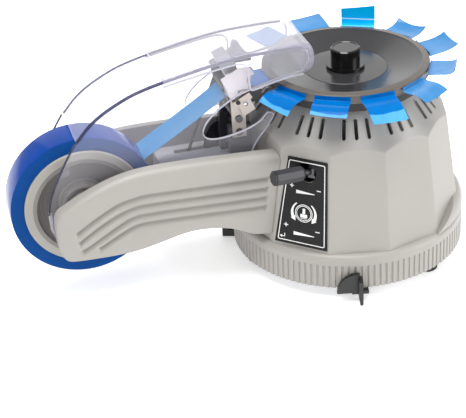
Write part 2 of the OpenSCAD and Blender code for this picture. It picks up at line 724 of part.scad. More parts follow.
module arm_belly() color(warm_grey) {
    line = open_curve([[-140, 51.4], [-133, 52.8], [-122, 53.4], [-111, 52.2], [-100, 49.4], [-91, 45.4],
        [-84, 42], [-70, 40.4]], 3);
    difference() {
        along_y(-deck_half, deck_half) polygon(concat(line, [for (i = [len(line) - 1:-1:0]) line[i] + [0, belly_t]]));
        housing_block();
    }
}
module arm_screws() color(steel) {
    for (s = [-1, 1], p = arm_screw_at) {
        y_in = arm_half - deck_wall - 1.8;
        y_out = arm_half + 5;
        rod_y(p, 3, s > 0 ? y_in - 0.2 : -y_in - 1.4, s > 0 ? y_in + 1.4 : -y_in + 0.2);
        rod_y(p, 1.55, s > 0 ? y_in : -y_out, s > 0 ? y_out : -y_in);
    }
}
module reel_axle() color(steel) {
    rod_y(axle, axle_r, -(arm_half + axle_seat - 0.2), arm_half + axle_seat - 0.2);
}

// ---------- Reel and tape ----------
flange_t = 1.6;
flange_r = core_r + 4.4;
dish_back = 4;
hub_r = 15;
module reel_half() {
    // Flange, conical dish and hub of the front half, looking along the axle
    y0 = -tape_w / 2 - flange_t;
    translate([axle[0], 0, axle[1]]) rotate([90, 0, 0]) rotate_extrude($fn = 120) polygon([
        [axle_r + run_gap, 0.2], [axle_r + run_gap, 12.5], [axle_r + 4, 12.5], [axle_r + 4, 6], [hub_r - 2, 6],
        [hub_r - 2, 10.5], [hub_r, 10.5], [hub_r, 4], [core_r - 4.6, 8.5], [core_r - 4.2, -y0],
        [flange_r - 0.6, -y0], [flange_r, -y0 - 0.6], [flange_r, tape_w / 2], [core_r - 0.2, tape_w / 2],
        [core_r - 0.2, 0.2], [core_r - 2.4, 0.2], [core_r - 2.4, 5.6], [hub_r, 1], [hub_r, 0.2]
    ]);
}
module reel_front() color([0.80, 0.78, 0.74]) reel_half();
module reel_rear() color([0.80, 0.78, 0.74]) mirror([0, 1, 0]) reel_half();
module roll_core() color([0.8, 0.76, 0.7]) {
    difference() {
        rod_y(axle, core_r + core_wall, -tape_w / 2, tape_w / 2, $fn = 120);
        rod_y(axle, core_r, -tape_w, tape_w, $fn = 120);
    }
}
module tape_roll() color(tape_blue) {
    difference() {
        rod_y(axle, roll_r, -tape_w / 2, tape_w / 2, $fn = 120);
        rod_y(axle, core_r + core_wall, -tape_w, tape_w, $fn = 120);
    }
}
web_gap = 0.35;
web_start_angle = 32;
module tape_web() color(tape_blue) {
    start = axle + (roll_r + web_gap) * [cos(web_start_angle), sin(web_start_angle)];
    end = nip + feed_dir * (nip_back - blade_off - 0.3) / cos(feed_slope);
    lift = feed_up * strip_t / 2;
    along_y(-tape_w / 2, tape_w / 2) polygon([
        start - lift, nip - feed_dir * 2 - lift, end - lift, end + lift, nip - feed_dir * 2 + lift, start + lift
    ]);
}

// ---------- Feed drive under the deck ----------
feed_motor_at = [-112, 70];
pulley_r = 6;
belt_t = 1;
belt_w = 3;
belt_y = bracket_y + 1.4;
belt_gap = 0.3;
module feed_motor() color(steel) {
    difference() {
        union() {
            rod_y(feed_motor_at, 11, -24, 12);
            rod_y(feed_motor_at, 4, 12, 14);
        }
        rod_y(feed_motor_at, 1.5 + run_gap, 4, 20);
    }
    // Saddle that hangs the motor from the deck
    translate([feed_motor_at[0] - 6, -20, feed_motor_at[1] + 9]) cube([12, 28, deck_z - deck_wall - feed_motor_at[1] - 9]);
}
module pulley(at) {
    rod_y(at, pulley_r, belt_y - 0.2, belt_y + belt_w + 0.2);
    rod_y(at, pulley_r + 1.6, belt_y - 1.2, belt_y - 0.2);
}
module feed_motor_pulley() color(soft_black) {
    pulley(feed_motor_at);
    rod_y(feed_motor_at, 1.5, 5, belt_y);
}
module belt_loop(r) {
    hull() {
        translate(feed_motor_at) circle(r, $fn = 48);
        translate(feed_at) circle(r, $fn = 48);
    }
}
module feed_belt() color(soft_black) {
    along_y(belt_y, belt_y + belt_w) difference() {
        belt_loop(pulley_r + belt_gap + belt_t);
        belt_loop(pulley_r + belt_gap);
    }
}

// ---------- Cutter ----------
cutter_lean = 20;
cutter_plate_outline = [
    [cut_x - 11.5, strip_z + 9.3], [cut_x - 6.5, strip_z + 12], [cut_x + 4.9, strip_z + 15.6],
    [cut_x + 9, strip_z + 14.5], [cut_x + 11, strip_z + 11], [cut_x + 7, strip_z + 4.4], [cut_x + 7.5, strip_z - 0.4],
    [cut_x + 4, strip_z - 8], [cut_x + 4, strip_z - 36], [cut_x - 6, strip_z - 36], [cut_x - 6.3, strip_z - 5.5],
    [cut_x - 9.8, strip_z - 1.6]
];
slide_dir = [sin(cutter_lean), -cos(cutter_lean)];
slide_side = [cos(cutter_lean), sin(cutter_lean)];
carrier_at = [cut_x - blade_off, strip_z + 7.2];
pin_r = 1.4;
module cutter_plate() {
    difference() {
        along_y(pedestal_y, pedestal_y + cutter_plate_t) polygon(cutter_plate_outline);
        rod_y(feed_at, roller_shaft_r + run_gap, 0, 30);
        rod_y(press_at, roller_shaft_r + run_gap, 0, 30);
        // Slot in which the blade carrier's guide pin runs
        for (t = [0, 1]) rod_y(carrier_at + slide_dir * blade_travel * t, pin_r + run_gap, 0, 30);
        translate([carrier_at[0], 0, carrier_at[1]]) rotate([0, -cutter_lean, 0])
            translate([-(pin_r + run_gap), 0, -blade_travel]) cube([2 * (pin_r + run_gap), 30, blade_travel]);
        for (z = bar_drops) rod_y([cut_x - 1, strip_z - z], bar_r + 0.05, 0, 30);
        // Gap that the strips pass through as the carousel turns
        translate([cut_x - 0.2, 0, strip_z + strip_t / 2 - strip_gap / 2]) cube([30, 30, strip_gap]);
    }
}
module cutter_plate_front() color([0.80, 0.78, 0.76]) mirror([0, 1, 0]) cutter_plate();
module cutter_plate_rear() color(dark_grey) {
    cutter_plate();
    // Rounded ear that stands above the front plate
    difference() {
        along_y(pedestal_y, pedestal_y + cutter_plate_t) union() {
            translate([cut_x + 7, strip_z + 19]) circle(2.6);
            polygon([[cut_x + 4.4, strip_z + 18.6], [cut_x + 9.4, strip_z + 19.6], [cut_x + 12.5, strip_z + 15],
                [cut_x + 9, strip_z + 13.5], [cut_x + 3.9, strip_z + 14.5]]);
        }
    }
}
bar_drops = [22, 32];
bar_r = 1.55;
module cutter_bar() color(steel) {
    // Tie rods that hold the two side plates apart, the upper one in a spacer sleeve
    for (z = bar_drops) rod_y([cut_x - 1, strip_z - z], bar_r, -bracket_y - 1, bracket_y + 1);
    rod_y([cut_x - 1, strip_z - bar_drops[0]], 3.4, -pedestal_y, pedestal_y);
    for (s = [-1, 1], z = bar_drops) rod_y([cut_x - 1, strip_z - z], 2.6,
        s > 0 ? bracket_y : -bracket_y - 1, s > 0 ? bracket_y + 1 : -bracket_y);
}
bracket_t = 3;
module roller_bracket() color(steel) {
    difference() {
        along_y(-bracket_y - bracket_t, -bracket_y) translate([cut_x, strip_z]) polygon([
            [-5.5, -7.8], [6.2, -1.8], [8.5, -5.7], [7.1, -7.2], [10.3, -14.8], [1.6, -19.4], [-1.5, -11.6], [-3.5, -11.4]
        ]);
        rod_y(feed_at, roller_shaft_r + run_gap, -30, 0);
        rod_y([cut_x + 3.6, strip_z - 10.2], 1.5, -30, 0);
    }
}
roller_half = pedestal_y - 0.6;
module feed_roller() color(soft_black) {
    rod_y(feed_at, roller_shaft_r, -bracket_y - bracket_t - 0.6, belt_y - 0.2);
    for (k = [-2:2]) rod_y(feed_at, feed_r, k * 5.6 - 2.4, k * 5.6 + 2.4);
    rod_y(feed_at, feed_r - 1, -roller_half, roller_half);
}
module feed_roller_pulley() color(soft_black) {
    difference() {
        pulley(feed_at);
        rod_y(feed_at, roller_shaft_r, 0, belt_y - 0.2);
    }
}
module press_roller() color(soft_black) {
    rod_y(press_at, roller_shaft_r, -bracket_y - 0.6, bracket_y + 0.6);
    rod_y(press_at, press_r, -tape_w / 2 - 0.5, tape_w / 2 + 0.5);
}
guide_gap = 0.43;
guide_x = feed_at[0] + feed_r + guide_gap - cut_x;
guide_t = 1;
module tape_guide() color(steel) {
    // Fixed lower blade and the sheet-metal wall that carries it, between the rollers and the rim
    along_y(-pedestal_y, pedestal_y) translate([cut_x, strip_z]) polygon([
        [-0.2, -0.9], [guide_x + guide_t + 1, -0.7], [guide_x + guide_t + 1, -1.6], [guide_x + guide_t, -1.8],
        [guide_x + guide_t, -14.2], [guide_x, -14.2], [guide_x, -1.9], [0.4, -2.2]
    ]);
}
module strip_pad() color(soft_black) {
    // Rubber pad just below the fresh strip's path
    along_y(-pedestal_y + 1.5, pedestal_y - 1.5) translate([cut_x, strip_z]) polygon([
        [guide_x + guide_t, -12.4], [guide_x + guide_t, -2.4], [15.5, -2.2], [17, -3.8], [17, -9.4], [14, -12.4]
    ]);
}

carrier_half = pedestal_y - 0.3;
module blade_carrier() color(dark_grey) {
    translate([carrier_at[0], 0, carrier_at[1]]) rotate([0, -cutter_lean, 0]) {
        translate([-1.6, -carrier_half, -1.2]) cube([3.2, 2 * carrier_half, 4.8]);
        translate([0, 0, 3.6]) cylinder(r = plunger_r, h = 6.5);
    }
    rod_y(carrier_at, pin_r, -bracket_y - 1.2, -carrier_half + 1);
    rod_y(carrier_at, pin_r, carrier_half - 1, bracket_y + 1.2);
}
plunger_r = 2.6;
module blade() color([0.85, 0.85, 0.87]) {
    w = tape_w / 2 + 1;
    teeth = 14;
    translate([carrier_at[0], 0, carrier_at[1]]) rotate([0, -cutter_lean, 0]) translate([-1.6 - blade_t, 0, 0])
        rotate([90, 0, 90]) linear_extrude(blade_t) polygon(concat(
            [[w, 2], [-w, 2]],
            [for (i = [0:teeth]) each [[-w + 2 * w * i / teeth, -3.2], if (i < teeth) [-w + 2 * w * (i + 0.5) / teeth, -4.3]]]
        ));
}
module blade_screws() color(steel) {
    translate([carrier_at[0], 0, carrier_at[1]]) rotate([0, -cutter_lean, 0]) for (y = [-8, 8])
        translate([1.6, y, 0.6]) rotate([0, 90, 0]) difference() {
            cylinder(r = 1.6, h = 1);
            translate([0, 0, 0.5]) cylinder(r = 0.8, h = 1, $fn = 6);
        }
}
module blade_solenoid() color(steel) {
    translate([carrier_at[0], 0, carrier_at[1]]) rotate([0, -cutter_lean, 0]) difference() {
        translate([-5, -pedestal_y, 4.2]) cube([9.4, 2 * pedestal_y, 7.6]);
        translate([0, 0, 3]) cylinder(r = plunger_r + run_gap, h = 8);
    }
}

// ---------- Clear cover ----------
cover_half = arm_half - cover_gap;
hood_half = cover_half + hood_wall + 0.2;
crown_end_r = roll_r + 4.5;
crown_line = open_curve([
    [-197.6, 130.3], [-189, 139.4], [-180, 146], [-167, 153.6], [-155.6, 158.8], [-138.4, 163.8], [-120, 167.6],
    [-106, 170.2], [-91, 172.4], [-79, 173.4], [-66, 173.8], [-50, 174], [-40, 173.7]
], 3);
crown_inner = [for (i = [0:len(crown_line) - 1]) let (
    a = crown_line[max(i - 1, 0)], b = crown_line[min(i + 1, len(crown_line) - 1)], d = (b - a) / norm(b - a))
    crown_line[i] + [d[1], -d[0]] * cover_wall];
cover_tail = concat(
    arc(axle, cover_end_r, 300, 195, 14),
    open_curve([[-224.4, 78], [-222.8, 86.5], [-220.4, 94], [-216.6, 102.4], [-212.4, 110], [-206.6, 118.2]], 2)
);
cover_front_edge = [
    [-37.4, 172.2], [-35.6, 169.4], [-35, 165], [-35.4, 160.6], [-37, 157.6], [-40.4, 155.4]
];
cover_hood_edge = open_curve([[-44, 154.6], [-52, 153], [-60, 151.6], [-68, 149.6], [-78, 147.2], [-88, 144.2]], 2);
cover_mouth = open_curve([[-93.8, 140.6], [-99, 137.4], [-104.5, 133], [-109, 128.2], [-111.8, 123], [-112, 119.4],
    [-109.6, 116.4], [-105.6, 115], [-99, 114.8], [-92, 115.8], [-84, 117.5], [-77.6, 119.8], [-71.7, 122.9], [-66.6, 128]], 2);
cover_tip = [[-64.2, 128.4], [-62, 127.2], [-61.6, 125.2], [-66.2, 117.7], [-70.7, 112.1], [-75.6, 105.4], [-79, 98],
    [-84, 93], [-92, deck_z + 3.4], [-132, deck_z + 3.4], [-150, 80], [-170, 62]];
cover_wall_outline = concat(crown_line, cover_front_edge, cover_hood_edge, cover_mouth, cover_tip, cover_tail);
module cover_side_wall() {
    along_y(cover_half - cover_wall, cover_half) difference() {
        polygon(cover_wall_outline);
        translate(axle) circle(axle_r + run_gap);
    }
    // Bearing boss on the reel's axle
    difference() {
        rod_y(axle, axle_r + 4, cover_half - cover_wall, arm_half - 0.3);
        rod_y(axle, axle_r + run_gap, 0, 60);
    }
}
module clear_cover() color(clear) {
    for (s = [0, 1]) mirror([0, s, 0]) cover_side_wall();
    along_y(-cover_half, cover_half)
        polygon(concat(crown_line, [for (i = [len(crown_inner) - 1:-1:0]) crown_inner[i]]));
}
hood_back = -138.4;
hood_line = open_curve([[-138.4, 165.8], [-120, 169.6], [-106, 172.2], [-91, 174.4], [-79, 175.4], [-66, 175.8],
    [-50, 176], [-38, 175.8], [-33.6, 173.4], [-31.8, 169], [-31.4, 164], [-32, 159.6], [-34.4, 156], [-39, 154.4]], 3);
hood_low = open_curve([[-40, 153.4], [-50, 153], [-60, 151.6], [-68, 149.8], [-78, 147.6], [-88, 144.9], [-93.8, 142.6],
    [-102, 141.2], [-118, 150], [-138.4, 158]], 2);
module front_hood() color(clear) {
    difference() {
        along_y(-hood_half, hood_half) polygon(concat(hood_line, hood_low));
        // The hood is a thin skin over the cover's outside
        along_y(-cover_half - 0.2, cover_half + 0.2) polygon(concat(
            [for (i = [0:len(hood_line) - 1]) let (
                a = hood_line[max(i - 1, 0)], b = hood_line[min(i + 1, len(hood_line) - 1)], d = (b - a) / norm(b - a))
                hood_line[i] + [d[1], -d[0]] * hood_wall],
            [[-39, 130], [-145, 130], [-145, 162.4]]));
    }
}
module cover_catch() color(dark_grey) {
    // Small grip tabs moulded on the inside of the two cover walls
    for (s = [0, 1]) mirror([0, s, 0]) along_y(cover_half - cover_wall - 1.6, cover_half - cover_wall)
        polygon([[-215, 105.4], [-208, 110.6], [-206.8, 108], [-207.4, 105.4], [-213.4, 103.6]]);
}

// ---------- Width lever ----------
pivot_back = 4.2;
pivot_u = lever_u + 2.8;
pivot_rise = 0.5;
yoke_pin_r = 1.5;
module at_pivot() {
    on_side(label_side, lever_z) translate([pivot_u, pivot_rise, -pivot_back]) children();
}
module width_lever() color(steel) {
    at_pivot() rotate([0, -lever_lean, 0]) {
        cylinder(r = 2.2, h = 16);
        rotate([90, 0, 0]) cylinder(r = 3, h = 2 * lever_hub_half, center = true);
        rotate([90, 0, 0]) cylinder(r = yoke_pin_r, h = 2 * (lever_hub_half + yoke_ear_t), center = true);
    }
}
knob_start = 8;
module lever_knob() color(dark_grey) {
    at_pivot() rotate([0, -lever_lean, 0]) difference() {
        union() {
            translate([0, 0, knob_start + 2]) cylinder(r = lever_knob_r, h = lever_knob_l - 3, $fn = 8);
            translate([0, 0, knob_start]) cylinder(r1 = lever_knob_r - 1.5, r2 = lever_knob_r * 0.93, h = 2);
            translate([0, 0, knob_start + lever_knob_l - 1]) cylinder(r = lever_knob_r * 0.88, h = 1, $fn = 8);
        }
        cylinder(r = 2.2, h = 16);
    }
}
lever_hub_half = 2.5;
yoke_ear_t = 1.8;
yoke_back = 4.6;
wing_y = 11.5;
module lever_yoke() color(steel) {
    // U-shaped bracket behind the housing wall that carries the lever's cross pin
    at_pivot() difference() {
        union() {
            for (s = [-1, 1]) translate([-2.6, s > 0 ? lever_hub_half + 0.1 : -lever_hub_half - 0.1 - yoke_ear_t, -yoke_back - 1.4])
                cube([5.2, yoke_ear_t, yoke_back + 3.6]);
            translate([-4, -wing_y - 3.5, -yoke_back - 1.4]) cube([8, 2 * wing_y + 7, 1.4]);
        }
        rotate([90, 0, 0]) cylinder(r = yoke_pin_r + run_gap, h = 40, center = true);
        for (s = [-1, 1]) translate([0, s * wing_y, -20]) cylinder(r = 1.3, h = 30);
    }
}
// Posts moulded inside the housing that the yoke is screwed to
module lever_posts() {
    at_pivot() for (s = [-1, 1]) translate([0, s * wing_y, -yoke_back]) cylinder(r = 3, h = yoke_back + 2);
}

base_ring();
floor_plate();
rubber_feet();
foot_brackets();
floor_screws();
housing();
inlet_cowl();
control_plate();
spindle_bush();
gearmotor();
motor_plate();
circuit_board();
switch_frame();
power_rocker();
power_jack();
carousel_disc();
spindle();
translate([0, 0, dish_z]) knob_collar();
carousel_knob();
set_screw();
drive_gear();
tape_strips();
motor_pinion();
arm_side_front();
arm_side_rear();
arm_deck();
arm_belly();
arm_screws();
reel_axle();
reel_front();
reel_rear();
roll_core();
tape_roll();
tape_web();
feed_motor();
feed_motor_pulley();
feed_belt();
cutter_plate_front();
cutter_plate_rear();
cutter_bar();
roller_bracket();
feed_roller();
feed_roller_pulley();
press_roller();
tape_guide();
strip_pad();
blade_carrier();
blade();
blade_screws();
blade_solenoid();
clear_cover();
front_hood();
cover_catch();
width_lever();
lever_knob();
lever_yoke();
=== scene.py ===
"""Powered carousel tape dispenser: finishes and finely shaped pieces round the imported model."""

import math

import bmesh
import bpy
import numpy as np
from mathutils import Matrix, Vector


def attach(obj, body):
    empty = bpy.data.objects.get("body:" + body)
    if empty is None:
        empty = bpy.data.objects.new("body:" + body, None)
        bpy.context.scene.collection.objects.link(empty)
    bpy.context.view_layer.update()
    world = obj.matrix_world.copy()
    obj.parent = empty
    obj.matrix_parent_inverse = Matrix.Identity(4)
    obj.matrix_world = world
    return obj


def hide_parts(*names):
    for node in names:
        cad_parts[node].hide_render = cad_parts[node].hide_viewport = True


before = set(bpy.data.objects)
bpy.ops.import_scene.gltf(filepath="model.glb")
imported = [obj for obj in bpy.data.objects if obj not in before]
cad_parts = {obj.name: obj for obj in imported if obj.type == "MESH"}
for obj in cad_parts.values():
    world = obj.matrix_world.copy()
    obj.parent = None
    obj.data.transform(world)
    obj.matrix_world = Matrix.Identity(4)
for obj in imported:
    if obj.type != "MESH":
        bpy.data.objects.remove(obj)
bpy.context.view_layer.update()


# ---------- Studio ----------
# A plain pale bench top under a big soft ceiling light, with a soft light at each side.
# The camera stands to the front left, a little above the machine, and is tilted by three degrees.
class Wire:
    """One output socket of a finish. Arithmetic on it adds Math nodes to the finish."""

    def __init__(self, socket):
        self.socket = socket

    def node(self, kind, sockets, out=0, **settings):
        """Adds a node of any kind, with its settings first and then what goes into its sockets."""
        tree = self.socket.id_data
        made = tree.nodes.new("ShaderNode" + kind)
        for key, value in settings.items():
            setattr(made, key, value)
        for key, value in sockets.items():
            if isinstance(value, Wire):
                tree.links.new(value.socket, made.inputs[key])
            else:
                made.inputs[key].default_value = value
        return Wire(made.outputs[out])

    def maths(self, operation, *values):
        """Adds a Math node that works on these wires and plain numbers."""
        return self.node("Math", dict(enumerate(values)), operation=operation)

    def __add__(self, other):
        return self.maths("ADD", self, other)

    def __sub__(self, other):
        return self.maths("SUBTRACT", self, other)

    def __rsub__(self, other):
        return self.maths("SUBTRACT", other, self)

    def __mul__(self, other):
        return self.maths("MULTIPLY", self, other)

    def __pow__(self, other):
        return self.maths("POWER", self, other)

    __radd__, __rmul__ = __add__, __mul__

    def step(self, low, high):
        """0 below low, 1 above high, and a smooth rise between them."""
        return self.node("MapRange", {0: self, 1: low, 2: high}, interpolation_type="SMOOTHSTEP")

    def noise(self, scale, detail=2.0, rough=0.5):
        """Cloudy noise at the points that this wire gives, scale being its blotches for each metre."""
        return self.node("TexNoise", {"Vector": self, "Scale": scale, "Detail": detail, "Roughness": rough})

    def rings(self, scale):
        """Noise along the one number that this wire gives, scale being its rings for each metre."""
        return self.node("TexNoise", {"W": self * scale, "Scale": 1.0, "Detail": 2.0}, noise_dimensions="1D")

    def tint(self, low, high):
        """The colour low where the wire is 0 and high where it is 1."""
        low, high = (c if isinstance(c, Wire) else (*c, 1) for c in (low, high))
        return self.node("Mix", {0: self, 6: low, 7: high}, out=2, data_type="RGBA")

    def axis(self, name):
        """One coordinate of a place."""
        return self.node("SeparateXYZ", {0: self}, out=name)

    def bump(self, depth):
        """The normal of a surface that this wire raises by depth, in metres."""
        return self.node("Bump", {"Height": self, "Distance": depth, "Strength": 1.0})


def new_finish(name, fixed):
    """A new finish: its material, the Object coordinates as a wire, and its main shader."""
    material = bpy.data.materials.new(name)
    material.use_nodes = True
    tree = material.node_tree
    shader = tree.nodes["Principled BSDF"]
    for key, value in fixed.items():
        shader.inputs[key].default_value = value
    return material, Wire(tree.nodes.new("ShaderNodeTexCoord").outputs["Object"]), shader


def join(shader, wires):
    """Links wires into the sockets of a shader."""
    for key, wire in wires.items():
        shader.id_data.links.new(wire.socket, shader.inputs[key])


def shade(r, g, b):
    """A colour given as it looks on a screen, 0 to 255, turned into the light it sends back."""
    return tuple(((c / 255 + 0.055) / 1.055) ** 2.4 if c > 10 else c / 3294 for c in (r, g, b))


def pale_bench():
    """The bench top: white with slow, faint clouds, and a little glow that keeps it pale."""
    glow = {"Emission Color": (1, 1, 1, 1), "Emission Strength": 0.45}
    finish, place, shader = new_finish("pale_bench", {"Specular IOR Level": 0.2, **glow})
    cloud = place.noise(3.0, 4.0)
    whites = cloud.tint(shade(244, 244, 244), shade(248, 248, 248))
    join(shader, {"Base Color": whites, "Roughness": cloud * 0.1 + 0.6})
    return finish


bench = bpy.data.meshes.new("bench")
bench.from_pydata([(-6, -4, 0), (6, -4, 0), (6, 8, 0), (-6, 8, 0)], [], [(0, 1, 2, 3)])
bench.materials.append(pale_bench())
bench = bpy.data.objects.new("bench", bench)
bpy.context.scene.collection.objects.link(bench)


def soft_light(name, place, aim, size, power):
    """A softbox of a width and a height that shines from one place towards another."""
    lamp = bpy.data.lights.new(name, "AREA")
    lamp.shape, lamp.energy = "RECTANGLE", power
    lamp.size, lamp.size_y = size
    lamp = bpy.data.objects.new(name, lamp)
    direction = np.array(aim) - np.array(place)
    lamp.location = place
    lamp.rotation_mode = "QUATERNION"
    lamp.rotation_quaternion = Vector(direction).to_track_quat("-Z", "Y")
    bpy.context.scene.collection.objects.link(lamp)


middle = (-0.08, 0, 0.08)
soft_light("ceiling", (-0.25, -0.25, 1.58), middle, (1.0, 1.0), 26)
soft_light("left_window", (-1.5, -0.9, 1.0), middle, (0.9, 0.9), 3)
soft_light("right_window", (1.4, -0.9, 0.7), middle, (0.9, 0.9), 16)
soft_light("back_window", (0.15, 1.3, 0.66), middle, (1.7, 1.0), 4.6)
world = bpy.data.worlds.new("room")
world.use_nodes = True
world.node_tree.nodes["Background"].inputs["Color"].default_value = (1, 1, 1, 1)
world.node_tree.nodes["Background"].inputs["Strength"].default_value = 0.55
bpy.context.scene.world = world
bpy.context.scene.view_settings.view_transform = "Standard"

camera = bpy.data.objects.new("camera", bpy.data.cameras.new("camera"))
camera.data.lens, camera.data.sensor_width, camera.data.clip_end = 117.1, 36, 30
azimuth, height, roll = (math.radians(a) for a in (-14.55, 29.93, -2.97))
away = np.array([
    math.sin(azimuth) * math.cos(height),
    -math.cos(azimuth) * math.cos(height),
    math.sin(height),
])
right = np.array([math.cos(azimuth), math.sin(azimuth), 0])
up = np.cross(away, right)
turned_right = math.cos(roll) * right + math.sin(roll) * up
turned_up = math.cos(roll) * up - math.sin(roll) * right
stand = np.array([-0.08764, 0, 0.04216]) + away * 1.1055
rows = np.c_[turned_right, turned_up, away, stand].tolist()
camera.matrix_world = Matrix([*rows, [0, 0, 0, 1]])
bpy.context.scene.collection.objects.link(camera)
bpy.context.scene.camera = camera


# ---------- Base ----------
# A ribbed ring moulded in warm grey ABS stands on a steel floor plate with three black rubber feet.
# Two black anti-tip brackets are screwed under it.
MM = 0.001  # sizes in this file are in millimetres, and meshes in metres
cloud_scale, grain_scale = 24.0, 2600.0


def moulded(name, light, rough, grain=0.02, mottle=0.05, **fixed):
    """Moulded plastic: one colour with slow, faint clouds in shade and gloss, and a fine eroded grain."""
    finish, place, shader = new_finish(name, fixed)
    cloud = place.noise(cloud_scale, 4.0, 0.6)
    fine = place.noise(grain_scale)
    darker = tuple(c * (1 - mottle) for c in light)
    lighter = tuple(min(c * (1 + mottle), 1) for c in light)
    join(shader, {
        "Base Color": (cloud * 0.8 + fine * 0.2).tint(darker, lighter),
        "Roughness": cloud * 0.08 + (rough - 0.04),
        "Normal": fine.bump(grain * MM),
    })
    return finish


def dress(finish, *nodes):
    """Gives CAD nodes a finish."""
    for node in nodes:
        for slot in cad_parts[node].material_slots:
            slot.material = finish


body_grey = moulded("body_grey", shade(153, 150, 145), 0.42)
dress(body_grey, "base_ring", "arm_belly", "inlet_cowl")
black_rubber = moulded("black_rubber", shade(34, 34, 36), 0.75, 0.05, 0.15)
dress(black_rubber, "rubber_feet", "feed_belt")
black_plastic = moulded("black_plastic", shade(22, 22, 24), 0.38, 0.02, 0.1)
dress(black_plastic, "foot_brackets", "power_jack", "switch_frame", "power_rocker", "strip_pad")


def brushed(name, light, rough, along="Y"):
    """Rolled or turned metal: bright, with fine scratches drawn out along one axis."""
    finish, place, shader = new_finish(name, {"Metallic": 1.0})
    stretch = {"X": (0.04, 1, 1), "Y": (1, 0.04, 1), "Z": (1, 1, 0.04)}[along]
    drawn = place.node("Mapping", {"Vector": place, "Scale": stretch})
    scratch = drawn.noise(1800.0, 3.0)
    cloud = place.noise(40.0, 3.0)
    join(shader, {
        "Base Color": scratch.tint(tuple(c * 0.9 for c in light), light),
        "Roughness": scratch * 0.12 + cloud * 0.1 + (rough - 0.1),
        "Normal": scratch.bump(0.01 * MM),
    })
    return finish


zinc = brushed("zinc_plate", shade(190, 192, 196), 0.4, "X")
dress(zinc, "floor_plate", "motor_plate")
dark_steel = brushed("dark_steel", shade(92, 92, 95), 0.35)
dress(dark_steel, "width_lever", "lever_yoke", "cutter_bar")
steel = brushed("turned_steel", shade(205, 206, 210), 0.25)
dress(steel, "floor_screws", "arm_screws", "set_screw", "reel_axle", "blade_screws")
dress(steel, "feed_motor", "tape_guide")
drawn_steel = brushed("drawn_steel", shade(196, 197, 200), 0.3, "Z")
dress(drawn_steel, "spindle", "gearmotor", "blade_solenoid")


# ---------- Housing ----------
# Twelve flat sides lean in and meet a conical roof with cooling slots. It is one warm grey ABS moulding,
# about 2.6 mm thick, with openings for the lever, the switch and the power jack.
def surface(points, wrap, caps=False):
    """A mesh on a grid of points in millimetres, with a four-sided face in every cell.
    Each way of the grid may close on itself, and caps fill its first and last rows."""
    rows, columns = points.shape[:2]
    index = np.arange(rows * columns).reshape(rows, columns)
    ends = [index[0].tolist()[::-1], index[-1].tolist()] if caps else []
    if wrap[0]:
        index = np.vstack([index, index[:1]])
    if wrap[1]:
        index = np.hstack([index, index[:, :1]])
    cells = np.stack([index[:-1, :-1], index[1:, :-1], index[1:, 1:], index[:-1, 1:]], -1)
    mesh = bpy.data.meshes.new("surface")
    mesh.from_pydata(points.reshape(-1, 3) * MM, [], cells.reshape(-1, 4).tolist() + ends)
    work = bmesh.new()
    work.from_mesh(mesh)
    bmesh.ops.remove_doubles(work, verts=work.verts, dist=1e-7)
    bmesh.ops.dissolve_degenerate(work, edges=work.edges, dist=1e-8)
    bmesh.ops.recalc_face_normals(work, faces=work.faces)
    work.to_mesh(mesh)
    work.free()
    return mesh


def bar(points):
    """A closed outline carried from the first row of a grid to the last, with both ends capped."""
    return surface(points, (False, True), caps=True)


def fit(name, meshes, finishes, body, stands_for=(), crease=35):
    """Puts meshes together as one piece that rides on a body, smooth except at edges sharper than crease."""
    work = bmesh.new()
    for mesh in meshes:
        work.from_mesh(mesh)
    whole = bpy.data.meshes.new(name)
    work.to_mesh(whole)
    work.free()
    whole.shade_smooth()
    whole.set_sharp_from_angle(angle=math.radians(crease))
    for finish in finishes:
        whole.materials.append(finish)
    made = bpy.data.objects.new(name, whole)
    bpy.context.scene.collection.objects.link(made)
    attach(made, body)
    if stands_for:
        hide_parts(*stands_for)


def soft_least(distances, sharpness):
    """The least of several distances, with the corner where two are equal rounded off."""
    return -np.log(np.exp(-sharpness * (distances - distances.min(0))).sum(0)) / sharpness + distances.min(0)


side_count, side_turn = 12, 2.0
foot_z, corner_z, brow_start, roof_z = 34.6, 107.3, 134.0, 138.0
foot_side, corner_side, corner_r, cone_slope = 79.4, 70.03, 72.5, 1.24
housing_wall, bush_r, bush_low, ceiling_z = 2.8, 6.55, 129.0, 131.0
brow_reach, brow_tuck, cone_level = 3.6, 1.0, 1.28
side_lean = math.atan((foot_side - corner_side) / (corner_z - foot_z))


def side_distance(z):
    """Distance of a flat side's middle from the upright axis: it shrinks steadily with height."""
    return foot_side - (z - foot_z) * math.tan(side_lean)


def housing_radius(angle, z, inset=0.0):
    """Radius of the housing at an angle and a height: the least of the flat sides' and the cone's."""
    middles = np.radians(side_turn + 15 + 30 * np.arange(side_count))[:, None, None]
    turned = np.cos(angle[None] - middles)
    sides = np.where(turned > 0.5, (side_distance(z)[None] - inset) / np.maximum(turned, 0.5), 1e3)
    cone = corner_r - (z - corner_z) / cone_slope - inset * cone_level
    return soft_least(np.concatenate([sides, cone[None]]), sharpness=6.0)


